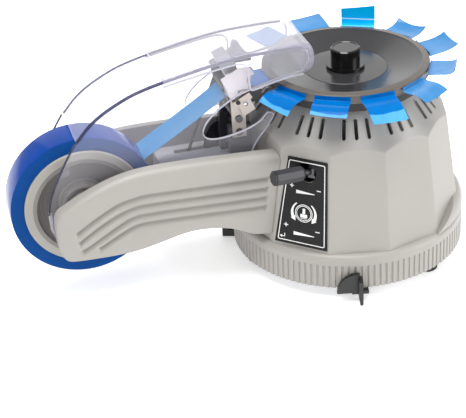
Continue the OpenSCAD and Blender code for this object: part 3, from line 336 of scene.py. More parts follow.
# Angles crowd towards the upright corners, and heights where the flat sides meet the roof
crowded = np.linspace(-1, 1, 25)[:-1]
crowded = np.sign(crowded) * (1 - (1 - np.abs(crowded)) ** 1.8)
shell_angle = np.radians((side_turn + 15 + 30 * np.arange(side_count)[:, None] + 15 * crowded[None]).ravel())
shell_z = np.r_[np.linspace(foot_z, 98, 10), np.linspace(99, 114, 42), np.linspace(116, brow_start, 10)]
turn_grid, z_grid = np.meshgrid(shell_angle, shell_z, indexing="ij")
outside = housing_radius(turn_grid, z_grid)
brow = np.linspace(0, np.pi / 2, 7)[1:]
cone_top = corner_r - (brow_start - corner_z) / cone_slope
brow_r = cone_top - brow_reach * np.sin(brow) ** 1.5 - brow_tuck * (1 - np.cos(brow))
brow_r = np.r_[brow_r, 30, 12, bush_r]
brow_z = np.r_[brow_start + (roof_z - brow_start) * np.sin(brow) ** 0.8, roof_z, roof_z, roof_z]
inner_z = np.minimum(z_grid, ceiling_z)
inside = housing_radius(turn_grid, inner_z, housing_wall)
count = len(shell_angle)
profile_r = [outside, np.repeat(brow_r[None], count, 0), np.full((count, 1), bush_r), inside[:, ::-1]]
profile_z = [z_grid, np.repeat(brow_z[None], count, 0), np.full((count, 1), bush_low), inner_z[:, ::-1]]
profile_r, profile_z = np.concatenate(profile_r, 1), np.concatenate(profile_z, 1)
angle_grid = np.repeat(shell_angle[:, None], profile_r.shape[1], 1)
shell_places = [profile_r * np.cos(angle_grid), profile_r * np.sin(angle_grid), profile_z]
shell = surface(np.stack(shell_places, -1), (True, True))


def on_side(direction, z, u, v, out):
    """Points on a flat side: u across it, v up it and out from it, about the height z on its middle line."""
    turn = math.radians(direction)
    level = np.array([math.cos(turn), math.sin(turn), 0])
    outward = level * math.cos(side_lean) + np.array([0, 0, math.sin(side_lean)])
    sideways = np.array([-math.sin(turn), math.cos(turn), 0])
    upward = np.cross(outward, sideways)
    start = level * side_distance(z) + np.array([0, 0, z])
    u, v, out = np.broadcast_arrays(u, v, out)
    return start + u[..., None] * sideways + v[..., None] * upward + out[..., None] * outward


def slot_outline(length, width, count=6):
    """A slot's outline: two half circles joined by straight sides."""
    bend = np.linspace(-np.pi / 2, np.pi / 2, count)
    end, straight = width / 2, length / 2 - width / 2
    x = np.r_[straight + end * np.cos(bend), -straight - end * np.cos(bend)]
    y = np.r_[end * np.sin(bend), -end * np.sin(bend)]
    return np.stack([x, y], -1)


def turned(x, y, angle):
    """Sideways coordinates, turned by an angle about the upright axis."""
    return x * math.cos(angle) - y * math.sin(angle), x * math.sin(angle) + y * math.cos(angle)


slot_r = 60.75
roof_fall = math.atan(cone_slope)
slot_turns = side_turn + 30 * (np.arange(side_count)[:, None] + 0.5) + np.array([-7.8, 0, 7.8])[None]
slot_turns = np.radians(slot_turns).ravel()


def on_roof(along, across, lift, angle):
    """Points on the conical roof: down its fall from the slots' middle, across it, and lifted off it."""
    r = slot_r + along * math.cos(roof_fall) + lift * math.sin(roof_fall)
    z = corner_z + (corner_r - slot_r) * cone_slope - along * math.sin(roof_fall) + lift * math.cos(roof_fall)
    x, y = turned(r, across, angle)
    return np.stack(np.broadcast_arrays(x, y, z), -1)


# What is cut out: the cooling slots, then the openings for the lever, the power jack and the switch
through = np.array([-6.0, 6.0])[:, None]
slot_line = slot_outline(15.0, 2.5)
cutters = [bar(on_roof(*slot_line.T, through, turn)) for turn in slot_turns]
front_side, rear_side = -133.0, 17.0
lever_z, jack_z, switch_z = 92, 58, 82
circle = np.linspace(0, 2 * np.pi, 48, endpoint=False)
circle = np.stack([np.cos(circle), np.sin(circle)])
square = np.array([[-1, 1, 1, -1], [-1, -1, 1, 1]])
lever_hole, jack_hole, switch_hole = 7.4 * circle, 4.6 * circle, square * [[6.6], [9.6]]
cutters += [
    bar(on_side(front_side, lever_z, lever_hole[0] + 1.7, lever_hole[1], through * 2)),
    bar(on_side(rear_side, jack_z, *jack_hole, through * 2)),
    bar(on_side(rear_side, switch_z, *switch_hole, through * 2)),
]


def carved(mesh, tools):
    """mesh with the tools' space taken out of it."""
    work = bmesh.new()
    for tool in tools:
        work.from_mesh(tool)
    together = bpy.data.meshes.new("tools")
    work.to_mesh(together)
    work.free()
    block, cutter = bpy.data.objects.new("block", mesh), bpy.data.objects.new("tools", together)
    for made in (block, cutter):
        bpy.context.scene.collection.objects.link(made)
    cut = block.modifiers.new("cut", "BOOLEAN")
    cut.operation, cut.object, cut.solver = "DIFFERENCE", cutter, "EXACT"
    done = bpy.data.meshes.new_from_object(block.evaluated_get(bpy.context.evaluated_depsgraph_get()))
    bpy.data.objects.remove(block)
    bpy.data.objects.remove(cutter)
    return done


fit("housing_shell", [carved(shell, cutters)], [body_grey], "base", ["housing"], crease=40)

# A raised bead round each slot
bead_r = 0.35
bead_turn = np.linspace(0, 2 * np.pi, 8, endpoint=False)
bead_line = slot_outline(15.7, 3.2, 8)
bead_out = bead_line * (0.2, 1)
bead_out = bead_out / np.linalg.norm(bead_out, axis=1)[:, None]
bead_ring = bead_line[..., None] + bead_r * bead_out[..., None] * np.cos(bead_turn)
bead_along, bead_across = bead_ring.swapaxes(0, 1)
bead_lift = 0.3 * np.sin(bead_turn) + 0.02
beads = [surface(on_roof(bead_along, bead_across, bead_lift, turn), (True, True)) for turn in slot_turns]
fit("slot_beads", beads, [body_grey], "base", crease=60)


# ---------- Drive inside ----------
# The carousel's drive stands in the housing: a moulded pinion and gear, and a bronze bush for the spindle.
# The circuit board lies on spacers beside the gearmotor.
bronze = brushed("bronze", shade(176, 134, 78), 0.35, "Z")
dress(bronze, "spindle_bush")
gear_plastic = moulded("gear_plastic", shade(226, 218, 188), 0.5)
dress(gear_plastic, "drive_gear", "motor_pinion")
board_green = moulded("board_green", shade(30, 92, 52), 0.35, 0.01, 0.2)
dress(board_green, "circuit_board")


# ---------- Control plate ----------
# A black polyester label with a white printed border and signs sits round the lever's opening.
# The signs are plain ones: a ring with plus and minus, two turning arrows and a return arrow.
label_black = moulded("label_black", shade(17, 17, 18), 0.5, 0.006, 0.06, **{"Specular IOR Level": 0.25})
dress(label_black, "control_plate")
label_z, ink_low, ink_top = 69.0, 0.84, 0.88


def printed(path, width, closed=False):
    """A band of ink along a path in the label's plane. Its width is one number, or one for each point."""
    path = np.asarray(path, float)
    before, after = np.roll(path, 1, 0), np.roll(path, -1, 0)
    if not closed:
        before[0], after[-1] = path[0], path[-1]
    way = (after - before) / np.linalg.norm(after - before, axis=1)[:, None]
    side = np.stack([-way[:, 1], way[:, 0]], -1) * (np.broadcast_to(width, len(path)) / 2)[:, None]
    left, right = path + side, path - side
    loop = np.stack([left, right, right, left], 1)
    height = np.array([ink_low, ink_low, ink_top, ink_top])
    places = on_side(front_side, label_z, loop[..., 0], loop[..., 1], height)
    return surface(places, (closed, True), caps=not closed)


def arc_path(centre, radius, start, stop, count=40):
    """Points on part of a circle, from one angle to another."""
    turn = np.radians(np.linspace(start, stop, count))
    return np.array(centre) + radius * np.stack([np.cos(turn), np.sin(turn)], -1)


def rounded(corners, radius, steps=6):
    """A closed outline with each corner turned into a curve that starts and ends a radius from it."""
    corners = np.asarray(corners, float)
    back, on = np.roll(corners, 1, 0) - corners, np.roll(corners, -1, 0) - corners
    radius = np.broadcast_to(radius, len(corners))[:, None]
    start = corners + back / np.linalg.norm(back, axis=1)[:, None] * radius
    stop = corners + on / np.linalg.norm(on, axis=1)[:, None] * radius
    t = np.linspace(0, 1, steps)[None, :, None]
    curve = (1 - t) ** 2 * start[:, None] + 2 * t * (1 - t) * corners[:, None] + t**2 * stop[:, None]
    return curve.reshape(-1, 2)


white_ink = moulded("white_ink", shade(232, 232, 230), 0.5, 0.004, 0.04)
border = rounded([(-18.3, -30.0), (17.3, -30.0), (15.4, 30.9), (-11.2, 30.9)], 1.2)
ring = (0.9, -7.2)


def sign(centre, size, plus):
    """A printed minus, or a plus."""
    strokes = [[(centre[0] - size, centre[1]), (centre[0] + size, centre[1])]]
    if plus:
        strokes.append([(centre[0], centre[1] + 0.3), (centre[0], centre[1] + size)])
        strokes.append([(centre[0], centre[1] - 0.3), (centre[0], centre[1] - size)])
    return [printed(stroke, 0.65) for stroke in strokes]


ink = [
    printed(border, 0.6, closed=True),
    printed(arc_path(ring, 6.4, 0, 360, 60)[:-1], 0.5, closed=True),
    printed(arc_path(ring, 5.4, 0, 360, 60)[:-1], 0.45, closed=True),
    # A knob seen from the side
    printed([(ring[0], ring[1] - 0.4), (ring[0], ring[1] + 3.6)], 2.0),
    printed([(ring[0] - 2.6, ring[1] - 1.9), (ring[0] + 2.6, ring[1] - 1.9)], 2.4),
    printed([(ring[0] - 2.2, ring[1] - 3.8), (ring[0] + 2.2, ring[1] - 3.8)], 0.5),
    # Arrows that turn round it
    printed(arc_path(ring, 8.9, 128, 205), np.linspace(0.8, 2.4, 40)),
    printed(arc_path(ring, 8.9, 52, -25), np.linspace(0.8, 2.4, 40)),
    printed([(-7.2, -10.8), (-5.4, -13.6)], np.array([4.2, 0.2])),
    printed([(9.0, -10.8), (7.2, -13.6)], np.array([4.2, 0.2])),
    # Return arrow
    printed([(-13.2, -25.0), (-13.2, -27.4), (-16.0, -27.4)], 0.6),
    printed([(-15.2, -27.4), (-17.0, -27.4)], np.array([2.2, 0.1])),
    # Wedges that stand for narrow to wide and short to long
    printed([(-5.4, 8.4), (8.6, 8.4)], np.array([2.6, 0.4])),
    printed([(-6.4, -23.4), (9.4, -23.4)], np.array([2.6, 0.4])),
]
ink += sign((-8.8, 12.4), 1.5, True) + sign((11.6, 11.6), 1.5, False)
ink += sign((-12.4, -18.2), 1.6, True) + sign((11.8, -19.4), 1.6, False)
fit("label_print", ink, [white_ink], "base")
knob_grey = moulded("knob_grey", shade(50, 50, 53), 0.4, 0.02, 0.08)
dress(knob_grey, "lever_knob")


# ---------- Carousel ----------
# A shallow dark grey dish, turned and lacquered, with a glossy black knob on its spindle.
# Cut strips of blue film stick to its rim and curl as each was pulled off.
def spun(profile, centre=(0, 0, 0), along="Z", count=180):
    """A closed outline of (radius, height) points, turned all the way round an axis."""
    turn = np.linspace(0, 2 * np.pi, count, endpoint=False)[:, None]
    radius, height, turn = np.broadcast_arrays(*profile.T, turn)
    x, side = radius * np.cos(turn), radius * np.sin(turn)
    points = np.stack([x, side, height] if along == "Z" else [x, height, side], -1)
    return surface(points + np.array(centre), (True, True))


lacquer = {"Specular IOR Level": 0.52}
disc_grey = moulded("disc_grey", shade(46, 45, 47), 0.2, 0.003, 0.03, **lacquer)
rim_brown = moulded("rim_brown", shade(82, 76, 71), 0.36, 0.01, 0.06)
disc_outline = rounded([
    (4.05, 141.6), (29.6, 141.6), (29.9, 141.3), (30.2, 141.6), (53.5, 147.0), (54.2, 147.4), (55.0, 147.3),
    (59.0, 146.7), (59.5, 146.2), (59.5, 141.4), (59.9, 141.2), (59.9, 140.7), (57.7, 140.8), (57.7, 144.2),
    (30, 139.6), (4.05, 139.6)],
    [0.2, 0.1, 0.1, 0.1, 0.3, 0.3, 0.3, 0.3, 0.25, 0.1, 0.15, 0.15, 0.2, 0.5, 3, 0.2], 5)
dish = spun(disc_outline)
rim_start = 54.3
middles = np.empty(len(dish.polygons) * 3)
dish.polygons.foreach_get("center", middles)
middles = middles.reshape(-1, 3) / MM
dish.polygons.foreach_set("material_index", (np.hypot(*middles[:, :2].T) > rim_start).astype(int).tolist())
fit("carousel_dish", [dish], [disc_grey, rim_brown], "carousel", ["carousel_disc"], crease=25)
# A skirt under the rim darkens the band between the strips: partly a deep grey hub there, and partly painted
# shade under the disc
skirt_dark_and_shade = moulded("skirt_dark_and_shade", shade(30, 30, 31), 0.6, 0.03, 0.1)
skirt_outline = rounded([(57.6, 140.6), (56.6, 133.4), (55.6, 133.0), (55.4, 140.6)], 0.15, 4)
fit("carousel_skirt", [spun(skirt_outline)], [skirt_dark_and_shade], "carousel")
knob_black = moulded("knob_black", shade(9, 9, 10), 0.2, 0.004, 0.08, **{"Coat Weight": 0.2})
dress(knob_black, "carousel_knob", "knob_collar")
crumpled_to = (0.0605, 0.064)  # metres from the upright axis between which the film's crumples end


def film(name, deep, light, pale_from=1.0, crease=1.0, **fixed):
    """Blue tape film: its dye with faint ripples, paler beyond a distance from the upright axis as painted
    light shining through the thin film, and whitened in a thin band at the height crease as a painted
    highlight along its bend."""
    finish, place, shader = new_finish(name, {"Specular IOR Level": 0.25, **fixed})
    ripple = place.noise(90.0, 2.0)
    crumple = place.noise(420.0, 3.0)
    flat = place.node("VectorMath", {0: place, 1: (1, 1, 0)}, operation="MULTIPLY")
    radius = flat.node("VectorMath", {0: flat}, out="Value", operation="LENGTH")
    outer = (radius + ripple * 0.003).step(pale_from, pale_from + 0.0008)
    near_rim = 1 - radius.step(*crumpled_to)
    blue = ripple.tint(deep, light)
    # The paler end is painted light, shining through the thin film
    end = ripple.tint(shade(62, 142, 205), shade(92, 168, 222))
    height = place.axis("Z")
    # A thin white band at the height crease: a painted highlight along the film's bend
    white = height.step(crease, crease + 0.0002) * (1 - height.step(crease + 0.0007, crease + 0.001))
    colour = outer.tint(blue, end)
    join(shader, {
        "Base Color": white.tint(colour, shade(205, 236, 250)),
        "Roughness": ripple * 0.12 + 0.12,
        "Normal": (ripple + crumple * near_rim * 0.6).bump(0.35 * MM),
    })
    return finish


def smooth_line(points, steps=12):
    """A smooth curve through a few points, by Catmull and Rom's rule."""
    p = np.asarray(points, float)
    p = np.vstack([2 * p[0] - p[1], p, 2 * p[-1] - p[-2]])
    a, b, c, d = (p[i : len(p) - 3 + i, None] for i in range(4))
    t = np.linspace(0, 1, steps, endpoint=False)[None, :, None]
    curve = 0.5 * (2 * b + (c - a) * t + (2 * a - 5 * b + 4 * c - d) * t**2 + (3 * b - a - 3 * c + d) * t**3)
    return np.vstack([curve.reshape(-1, p.shape[1]), p[-2]])


def film_shell(points, thick):
    """A film: a grid of points and the same grid a thickness below it, joined round its edge."""
    along, over = np.gradient(points, axis=0), np.gradient(points, axis=1)
    normal = np.cross(along, over)
    normal /= np.linalg.norm(normal, axis=2)[..., None]
    back = (points - normal * thick)[:, ::-1]
    return bar(np.concatenate([points, back], 1))


def mark(mesh, number):
    """Gives every face of a mesh one of its piece's finishes."""
    mesh.polygons.foreach_set("material_index", [number] * len(mesh.polygons))


# One film in three lit and shaded copies: the deep blue one for strips seen against the shaded roof, and the
# pale one and the cyan one painted lighter, as light that shines through the film from behind; the cyan one
# also has the painted highlight band at 149.6 mm
strip_blue = film("strip_blue", shade(0, 90, 162), shade(0, 108, 182), 0.0772, **{"Specular IOR Level": 0.1})
strip_backlit_pale = film("strip_backlit_pale", shade(46, 110, 166), shade(72, 138, 190))
strip_backlit_cyan = film("strip_backlit_cyan", shade(0, 172, 236), shade(0, 190, 250), crease=0.1496)
strip_half = 12.5
width_way = np.linspace(-1, 1, 15)
# For each strip its direction, its finish, how far out and how high it goes, and the twist and bow of its end
curls = [
    (2, 1, [(4.5, 143.8), (12, 144.6), (18, 146.2), (22.4, 148.4)], -0.3, 1.2),
    (32, 1, [(4.5, 143.4), (12, 143.4), (17, 144.6), (20.4, 146.4)], 0.2, 2.4),
    (62, 2, [(2.6, 143.8), (5.0, 146.0), (5.8, 149.6), (5.6, 154.0), (5.2, 159.6)], -1.6, 0.2),
    (92, 1, [(4.5, 144.4), (12, 145.4), (19, 145.8), (25.6, 146.0)], -0.9, 0.4),
    (122, 1, [(4.5, 144.0), (12, 145.0), (18.5, 146.2), (24, 147.0)], 0.6, 0.5),
    (182, 0, [(4.5, 145.2), (12, 145.4), (18.5, 145.4), (24, 145.4)], 0.0, 0.0),
    (212, 0, [(4.5, 143.4), (10, 143.4), (15, 141.8), (19.2, 138.6)], -2.0, 0.4),
    (242, 0, [(4.5, 143.2), (10, 143.6), (14, 142.6), (18.4, 140.2)], -0.8, 0.5),
    (272, 0, [(4.5, 142.4), (10, 141.6), (17, 138.8), (23.4, 135.6)], -0.4, 0.5),
    (302, 1, [(4.5, 143.0), (10, 143.2), (15, 142.2), (19.6, 140.2)], 0.2, 0.8),
    (332, 1, [(4.5, 143.6), (9, 143.8), (13, 143.9), (16.6, 145.0), (18.4, 146.8)], -0.6, 0.4),
]
rim_r, in_cutter = 59.6, 182
strips = []
for direction, kind, way_out, twist, strip_bow in curls:
    peel = (0.5, 145.3 if direction == in_cutter else 143.2)
    path = smooth_line([(0.14, 146.3), (0.12, 144.6), peel, *way_out])
    share = np.linspace(0, 1, len(path))[:, None] ** 1.5
    z = path[:, 1:] + share * (twist * width_way + strip_bow * (width_way**2 - 0.4))
    x, y = turned(rim_r + path[:, :1], width_way * strip_half, math.radians(direction))
    strip = film_shell(np.stack([x, y, z], -1), 0.12)
    mark(strip, kind)
    strips.append(strip)
strip_films = [strip_blue, strip_backlit_pale, strip_backlit_cyan]
fit("film_strips", strips, strip_films, "carousel", ["tape_strips"], crease=60)


# ---------- Arm ----------
# Two grey side panels, mirror images, stand on a dark deck and hold the reel's axle between them.
# Each is moulded with a rounded shoulder along its top and four stepped louvres in its outer face.
pedestal_from = (0.0864, 0.0872)  # metres of height between which the deck's finish changes


def deck_finish():
    """The deck's moulded grey, and above its top, on the cutter's pedestal, a deep grey painted shade."""
    finish, place, shader = new_finish("deck_grey", {"Specular IOR Level": 0.4})
    cloud = place.noise(cloud_scale, 4.0, 0.6)
    pedestal = place.axis("Z").step(*pedestal_from)
    top = cloud.tint(shade(212, 209, 215), shade(222, 219, 225))
    # Painted shade on the pedestal's sides, not a colour of its own
    pedestal_shade = cloud.tint(shade(62, 61, 64), shade(72, 71, 74))
    join(shader, {
        "Base Color": pedestal.tint(top, pedestal_shade),
        "Roughness": cloud * 0.08 + 0.3,
        "Normal": place.noise(grain_scale).bump(0.02 * MM),
    })
    return finish


dress(deck_finish(), "arm_deck")
arm_top = smooth_line([
    (-222.2, 70), (-221.6, 79), (-219, 84), (-214, 87.2), (-204, 92.5), (-190, 98.6), (-176, 103),
    (-162, 105.3), (-146, 105.9), (-120, 105.4), (-90, 103.8), (-66, 102), (-50, 99.4)], 24)
arm_low = smooth_line([
    (-222.2, 70), (-221.4, 58), (-219.5, 51), (-216, 47), (-209, 45.6), (-195, 45), (-180.6, 44.8),
    (-166, 45.8), (-155, 47.8), (-144, 50.2), (-133, 52.4), (-122, 53), (-111, 51.8), (-100, 49),
    (-91, 45), (-84, 41.6), (-76, 40), (-64, 40), (-50, 40)], 16)
louvres = [
    [(-222, 60.5), (-209, 69.2), (-193.4, 79), (-178, 86.6), (-166, 89.1), (-156, 89.8), (-120, 88.3),
     (-73, 86.4), (-50, 85.5)],
    [(-222, 53.5), (-208, 61.6), (-200, 67), (-184, 76.2), (-169, 81.6), (-156.4, 82.4), (-121, 80.9),
     (-74, 78.4), (-50, 77)],
    [(-222, 47.5), (-206.6, 54.8), (-199.6, 58.2), (-184.4, 67), (-170, 74), (-157, 75.2), (-121, 73.7),
     (-75, 71.4), (-50, 70)],
    [(-222, 41.5), (-206, 48.6), (-194.4, 54.8), (-190, 57), (-179, 62.8), (-167.6, 67.6), (-157.4, 68.4),
     (-122, 66.9), (-76, 64.4), (-50, 63)],
]
louvre_start = [-209, -208, -206.6, -194.4]
louvre_deep, louvre_wide = 2.2, 5.4
louvre_rows = np.array([1.0, 0.75, 0.46, 0.42, 0.2, 0.04, 0.0])
louvre_fall = np.array([0.0, 0.45, 0.93, 1.0, 1.0, 1.0, 0.0])
louvre_stop, louvre_fades_in, louvre_fades_out = -75.5, 1.2, 1.0
panel_in, panel_out, shoulder, low_round = 30.0, 40.0, 6.0, 1.6
arm_end, arm_end_z, arm_root, shoulder_grows, seam_gap = -222.2, 70, -70.5, 40.0, 0.3


def seam_x(y, z):
    """Where the arm meets the housing: the flat side that is reached last on the way in along +X."""
    turns = np.radians(side_turn + 180 + 30 * (np.arange(-2, 2) + 0.5))
    out = side_distance(z) + seam_gap / math.cos(side_lean)
    return np.max([(out - y * math.sin(t)) / math.cos(t) for t in turns], 0)


def arm_panel(hand):
    """An arm panel: a closed outline across the arm, carried along it. Its rows lie at the louvres and near
    both edges, and its depth falls away towards the edges as a quarter ellipse."""
    u = np.r_[np.linspace(0, 1, 24) ** 2 * 0.06, np.linspace(0.065, 0.955, 150), np.linspace(0.957, 1, 30)]
    x = arm_end + (arm_root - arm_end) * u
    top, low = np.interp(x, arm_top[:, 0], arm_top[:, 1]), np.interp(x, arm_low[:, 0], arm_low[:, 1])
    top[0] = low[0] = arm_end_z
    rise = np.maximum(top - low, 1e-6)
    fade = np.clip((x - arm_end) / shoulder_grows, 0.27, 1)
    # Rows crowd towards both edges, and lie above and below each step of the louvres
    bend = 1 - np.cos(np.linspace(0, np.pi / 2, 8))
    rows = [low + np.minimum(b * low_round * 1.2, rise * 0.1 * b) for b in bend]
    lines = [np.interp(x, *smooth_line(line, 10).T) for line in louvres]
    for line in lines[::-1]:
        rows += [line - louvre_wide * share for share in louvre_rows]
    rows += [top - (shoulder + 3)] + [top - b * (shoulder * fade + 0.2) * 1.05 for b in bend[::-1]]
    z = np.stack(rows, 1)
    z = np.clip(z, low[:, None], top[:, None])
    z = np.maximum.accumulate(z, 1)
    # Distance of each point from the outline, as a share of how far the rounding reaches in there
    edge = np.vstack([arm_low[::-1], arm_top[1:]])
    top_round = shoulder * np.clip((arm_top[1:, 0] - arm_end) / shoulder_grows, 0, 1)
    reach_round = np.r_[np.full(len(arm_low), low_round), np.maximum(top_round, low_round)]
    here = np.stack([np.repeat(x[:, None], z.shape[1], 1), z], -1)
    way = np.diff(edge, axis=0)
    offset = here[:, :, None] - edge[:-1]
    passed = np.clip((offset * way).sum(-1) / (way**2).sum(-1), 0, 1)
    gap = np.linalg.norm(offset - passed[..., None] * way, axis=-1)
    near = gap.argmin(-1)
    passed = np.take_along_axis(passed, near[..., None], -1)[..., 0]
    reach = reach_round[near] + passed * np.diff(reach_round)[near]
    share = np.clip(1 - gap.min(-1) / reach, 0, 1)
    y = panel_out - shoulder + shoulder * np.sqrt(1 - share**2)
    louvre = np.zeros_like(z)
    for line, start in zip(lines, louvre_start):
        down = (line[:, None] - z) / louvre_wide
        tooth = np.interp(down, louvre_rows[::-1], louvre_fall[::-1], 0, 0) * louvre_deep
        ends = np.clip((x - start) / louvre_fades_in, 0, 1)
        ends = ends * np.clip((louvre_stop - x) / louvre_fades_out, 0, 1)
        louvre = np.maximum(louvre, tooth * ends[:, None])
    y = y - louvre
    z = np.concatenate([low[:, None], z, top[:, None]], 1)
    y = np.concatenate([np.full((len(x), 1), panel_in), y, np.full((len(x), 1), panel_in)], 1)
    x = np.repeat(x[:, None], z.shape[1], 1)
    # The root half is drawn on to meet the housing's sides
    lean = np.clip((u[:, None] - 0.55) / 0.45, 0, 1) ** 2
    x = x + (seam_x(hand * y, z) - x[-1:]) * lean
    return bar(np.stack([x, hand * y, z], -1))


fit("arm_panel_front", [arm_panel(-1)], [body_grey], "base", ["arm_side_front"], crease=38)
fit("arm_panel_rear", [arm_panel(1)], [body_grey], "base", ["arm_side_rear"], crease=38)


# ---------- Reel ----------
# Two beige flanges with conical dishes clip together inside a card core, on which blue tape is wound.
# The free end of the tape runs up from the roll to the feed rollers.
card = moulded("card", shade(188, 168, 138), 0.8, 0.1, 0.1)
dress(card, "roll_core")
axle = (-197.0, 0.0, 74.0)
# Metres from the axle between which the finish changes: the dish's two edges, and the roll's tread
dish_from, dish_to, tread_from = (0.0170, 0.0175), (0.0364, 0.0372), (0.0515, 0.0517)


def from_axle(place):
    """Distance of a place from the reel's axle."""
    centred = place.node("Mapping", {"Vector": place, "Location": tuple(-c * MM for c in axle)})
    flat = centred.node("VectorMath", {0: centred, 1: (1, 0, 1)}, operation="MULTIPLY")
    return flat.node("VectorMath", {0: flat}, out="Value", operation="LENGTH")


def reel_finish():
    """A reel half: a beige flange and hub, and between them a glossy dish with faint turning rings, painted
    deeper grey as the shade in its recess.
    """
    finish, place, shader = new_finish("reel_beige", {})
    radius = from_axle(place)
    rings = radius.rings(1400.0)
    cloud = place.noise(30.0, 4.0)
    dish = radius.step(*dish_from) * (1 - radius.step(*dish_to))
    beige = cloud.tint(shade(150, 147, 141), shade(161, 158, 151))
    # The dish's deeper grey is painted shade in the recess
    recess_shade = rings.tint(shade(92, 89, 87), shade(138, 134, 131))
    join(shader, {
        "Base Color": dish.tint(beige, recess_shade),
        "Roughness": 0.38 - dish * 0.16 + cloud * 0.05,
        "Normal": (rings * dish + cloud * 0.3).bump(0.05 * MM),
    })
    return finish


dress(reel_finish(), "reel_front", "reel_rear")


def roll_finish():
    """The roll: smooth film on the tread, and on its sides the edges of the layers as fine rings."""
    finish, place, shader = new_finish("roll_blue", {"Specular IOR Level": 0.12})
    radius = from_axle(place)
    rings = radius.rings(5200.0)
    tread = radius.step(*tread_from)
    cloud = place.noise(60.0, 3.0)
    layered = (rings * 0.6 + cloud * 0.4).tint(shade(0, 50, 112), shade(2, 76, 148))
    smooth = cloud.tint(shade(0, 48, 124), shade(0, 64, 152))
    join(shader, {
        "Base Color": tread.tint(layered, smooth),
        "Roughness": 0.62 - tread * 0.5 + rings * 0.05,
        "Normal": (rings * (1 - tread) + cloud * tread * 1.4).bump(0.15 * MM),
    })
    return finish


roll_outline = [(41.75, -strip_half), (51.9, -strip_half), (51.9, strip_half), (41.75, strip_half)]
roll = spun(rounded(roll_outline, [0.1, 0.35, 0.35, 0.1], 4), axle, "Y", 240)
fit("tape_wound", [roll], [roll_finish()], "reel", ["tape_roll"], crease=30)
web_film = film("web_film", shade(16, 120, 180), shade(42, 142, 198), **{"Specular IOR Level": 0.1})
web_line = smooth_line([
    (-152.9, 101.9), (-140, 109.6), (-120, 121.6), (-100, 134.2), (-89.0, 142.0), (-85.7, 144.4)], 10)
sag = 1.2 * np.sin(np.linspace(0, np.pi, len(web_line)))[:, None] * (1 - width_way[None] ** 2)
web_x, web_y = np.broadcast_arrays(web_line[:, :1], width_way[None] * strip_half)
web = film_shell(np.stack([web_x, web_y, web_line[:, 1:] - sag], -1), 0.15)
fit("tape_free", [web], [web_film], "base", ["tape_web"], crease=60)


# ---------- Cutter ----------
# Two steel side plates on the deck's pedestal hold the rollers, the tie bars and the blade's carrier.
# Pressed guards cover them outside. All leave a slot open at the height where the cut strips pass.
plate_grey = brushed("plate_grey", shade(176, 168, 163), 0.42, "X")
dress(plate_grey, "cutter_plate_front", "roller_bracket")
# On the far plate and the near guard's fold this deep grey is painted shade; the blade's carrier and the
# cover's catch are this grey themselves
plate_dark_and_shade = moulded("plate_dark_and_shade", shade(98, 97, 101), 0.34, 0.02, 0.08)
dress(plate_dark_and_shade, "cutter_plate_rear", "blade_carrier", "cover_catch")
roller_black = moulded("roller_black", shade(26, 26, 28), 0.5)
dress(roller_black, "feed_roller", "feed_roller_pulley", "press_roller", "feed_motor_pulley")
dress(brushed("blade_steel", shade(220, 221, 225), 0.16), "blade")


def sheet(outline, start, stop):
    """A flat sheet with an outline in X and Z, between two depths."""
    outline = np.asarray(outline, float)
    flat = np.stack([outline[:, 0], np.zeros(len(outline)), outline[:, 1]], -1)
    return bar(np.stack([flat + [0, start, 0], flat + [0, stop, 0]]))


# Guard over the near plate, pressed from pale sheet, with a folded edge and two rivets
guard_pale = moulded("guard_pale", shade(216, 210, 214), 0.34, 0.01, 0.03)
guard_line = rounded([
    (-97.4, 157.4), (-89.7, 160.8), (-84, 164), (-77, 163.4), (-73.6, 158), (-78.6, 155.8), (-79.4, 153),
    (-78.2, 149), (-77.9, 147.2), (-84.2, 147.2), (-84.2, 143.4), (-87, 140.8), (-91.2, 141.6),
    (-93.4, 148)], 0.4, 4)
fold_line = rounded([
    (-84.3, 147.1), (-84.3, 143.2), (-87, 140.8), (-88.4, 141.0), (-88.0, 142.4), (-86.0, 144.0),
    (-85.6, 147.1)], 0.2, 3)
post = np.array([(0.2, -17.4), (1.8, -17.4), (1.8, -21.7), (0.2, -21.7)])
guard = [sheet(guard_line, -21.6, -22.2)]
guard += [spun(post, (x, 0, z), "Y", 24) for x, z in ((-91, 157), (-79, 160))]
fit("near_guard", guard, [guard_pale], "base")
# The fold's deep grey is painted shade under the guard's edge
fit("near_guard_fold", [sheet(fold_line, -22.3, -22.6)], [plate_dark_and_shade], "base")
screw = [(0.05, -20.2), (1.7, -20.2), (1.7, -20.8), (1.1, -21.3), (0.05, -21.4)]
screw = spun(rounded(screw, [0.02, 0.1, 0.3, 0.3, 0.02], 4), (-80.4, 0, 135.6), "Y", 32)
fit("bracket_screw", [screw], [steel], "base")
# Grey guard outside the far plate and the belt's upper pulley, with an ear at its top. Its deep grey is
# painted shade on its inner face.
far_line = rounded([
    (-94.4, 151.8), (-86.8, 155.5), (-78.6, 159.1), (-77, 161.2), (-77.7, 163.5), (-75.4, 165.5),
    (-72.5, 164.2), (-70.5, 160.1), (-67.7, 155.8), (-64.9, 153.7), (-62.8, 148.8), (-62.7, 147.2),
    (-84.2, 147.2), (-84.2, 142.4), (-63.4, 142.4), (-58.2, 134.7), (-55.5, 127.1), (-83.4, 120.9),
    (-87.9, 135.9)],
    [0.4, 1, 1, 0.8, 1, 1.2, 1, 1, 0.8, 0.8, 0.3, 0.3, 0.6, 0.6, 0.4, 0.4, 0.4, 0.4, 0.4], 4)
guard_grey_shade = moulded("guard_grey_shade", shade(80, 79, 83), 0.34, 0.02, 0.06)
fit("far_guard", [sheet(far_line, 22.2, 22.8)], [guard_grey_shade], "base")
# Black shield beside the feed belt
shield_line = rounded([
    (-103, 86.3), (-101, 96), (-97, 103), (-93, 106.6), (-86, 107), (-79.5, 105.4), (-77, 99),
    (-77, 86.3)], 1.5, 5)
fit("belt_shield", [sheet(shield_line, 17.5, 18.3)], [black_plastic], "base")
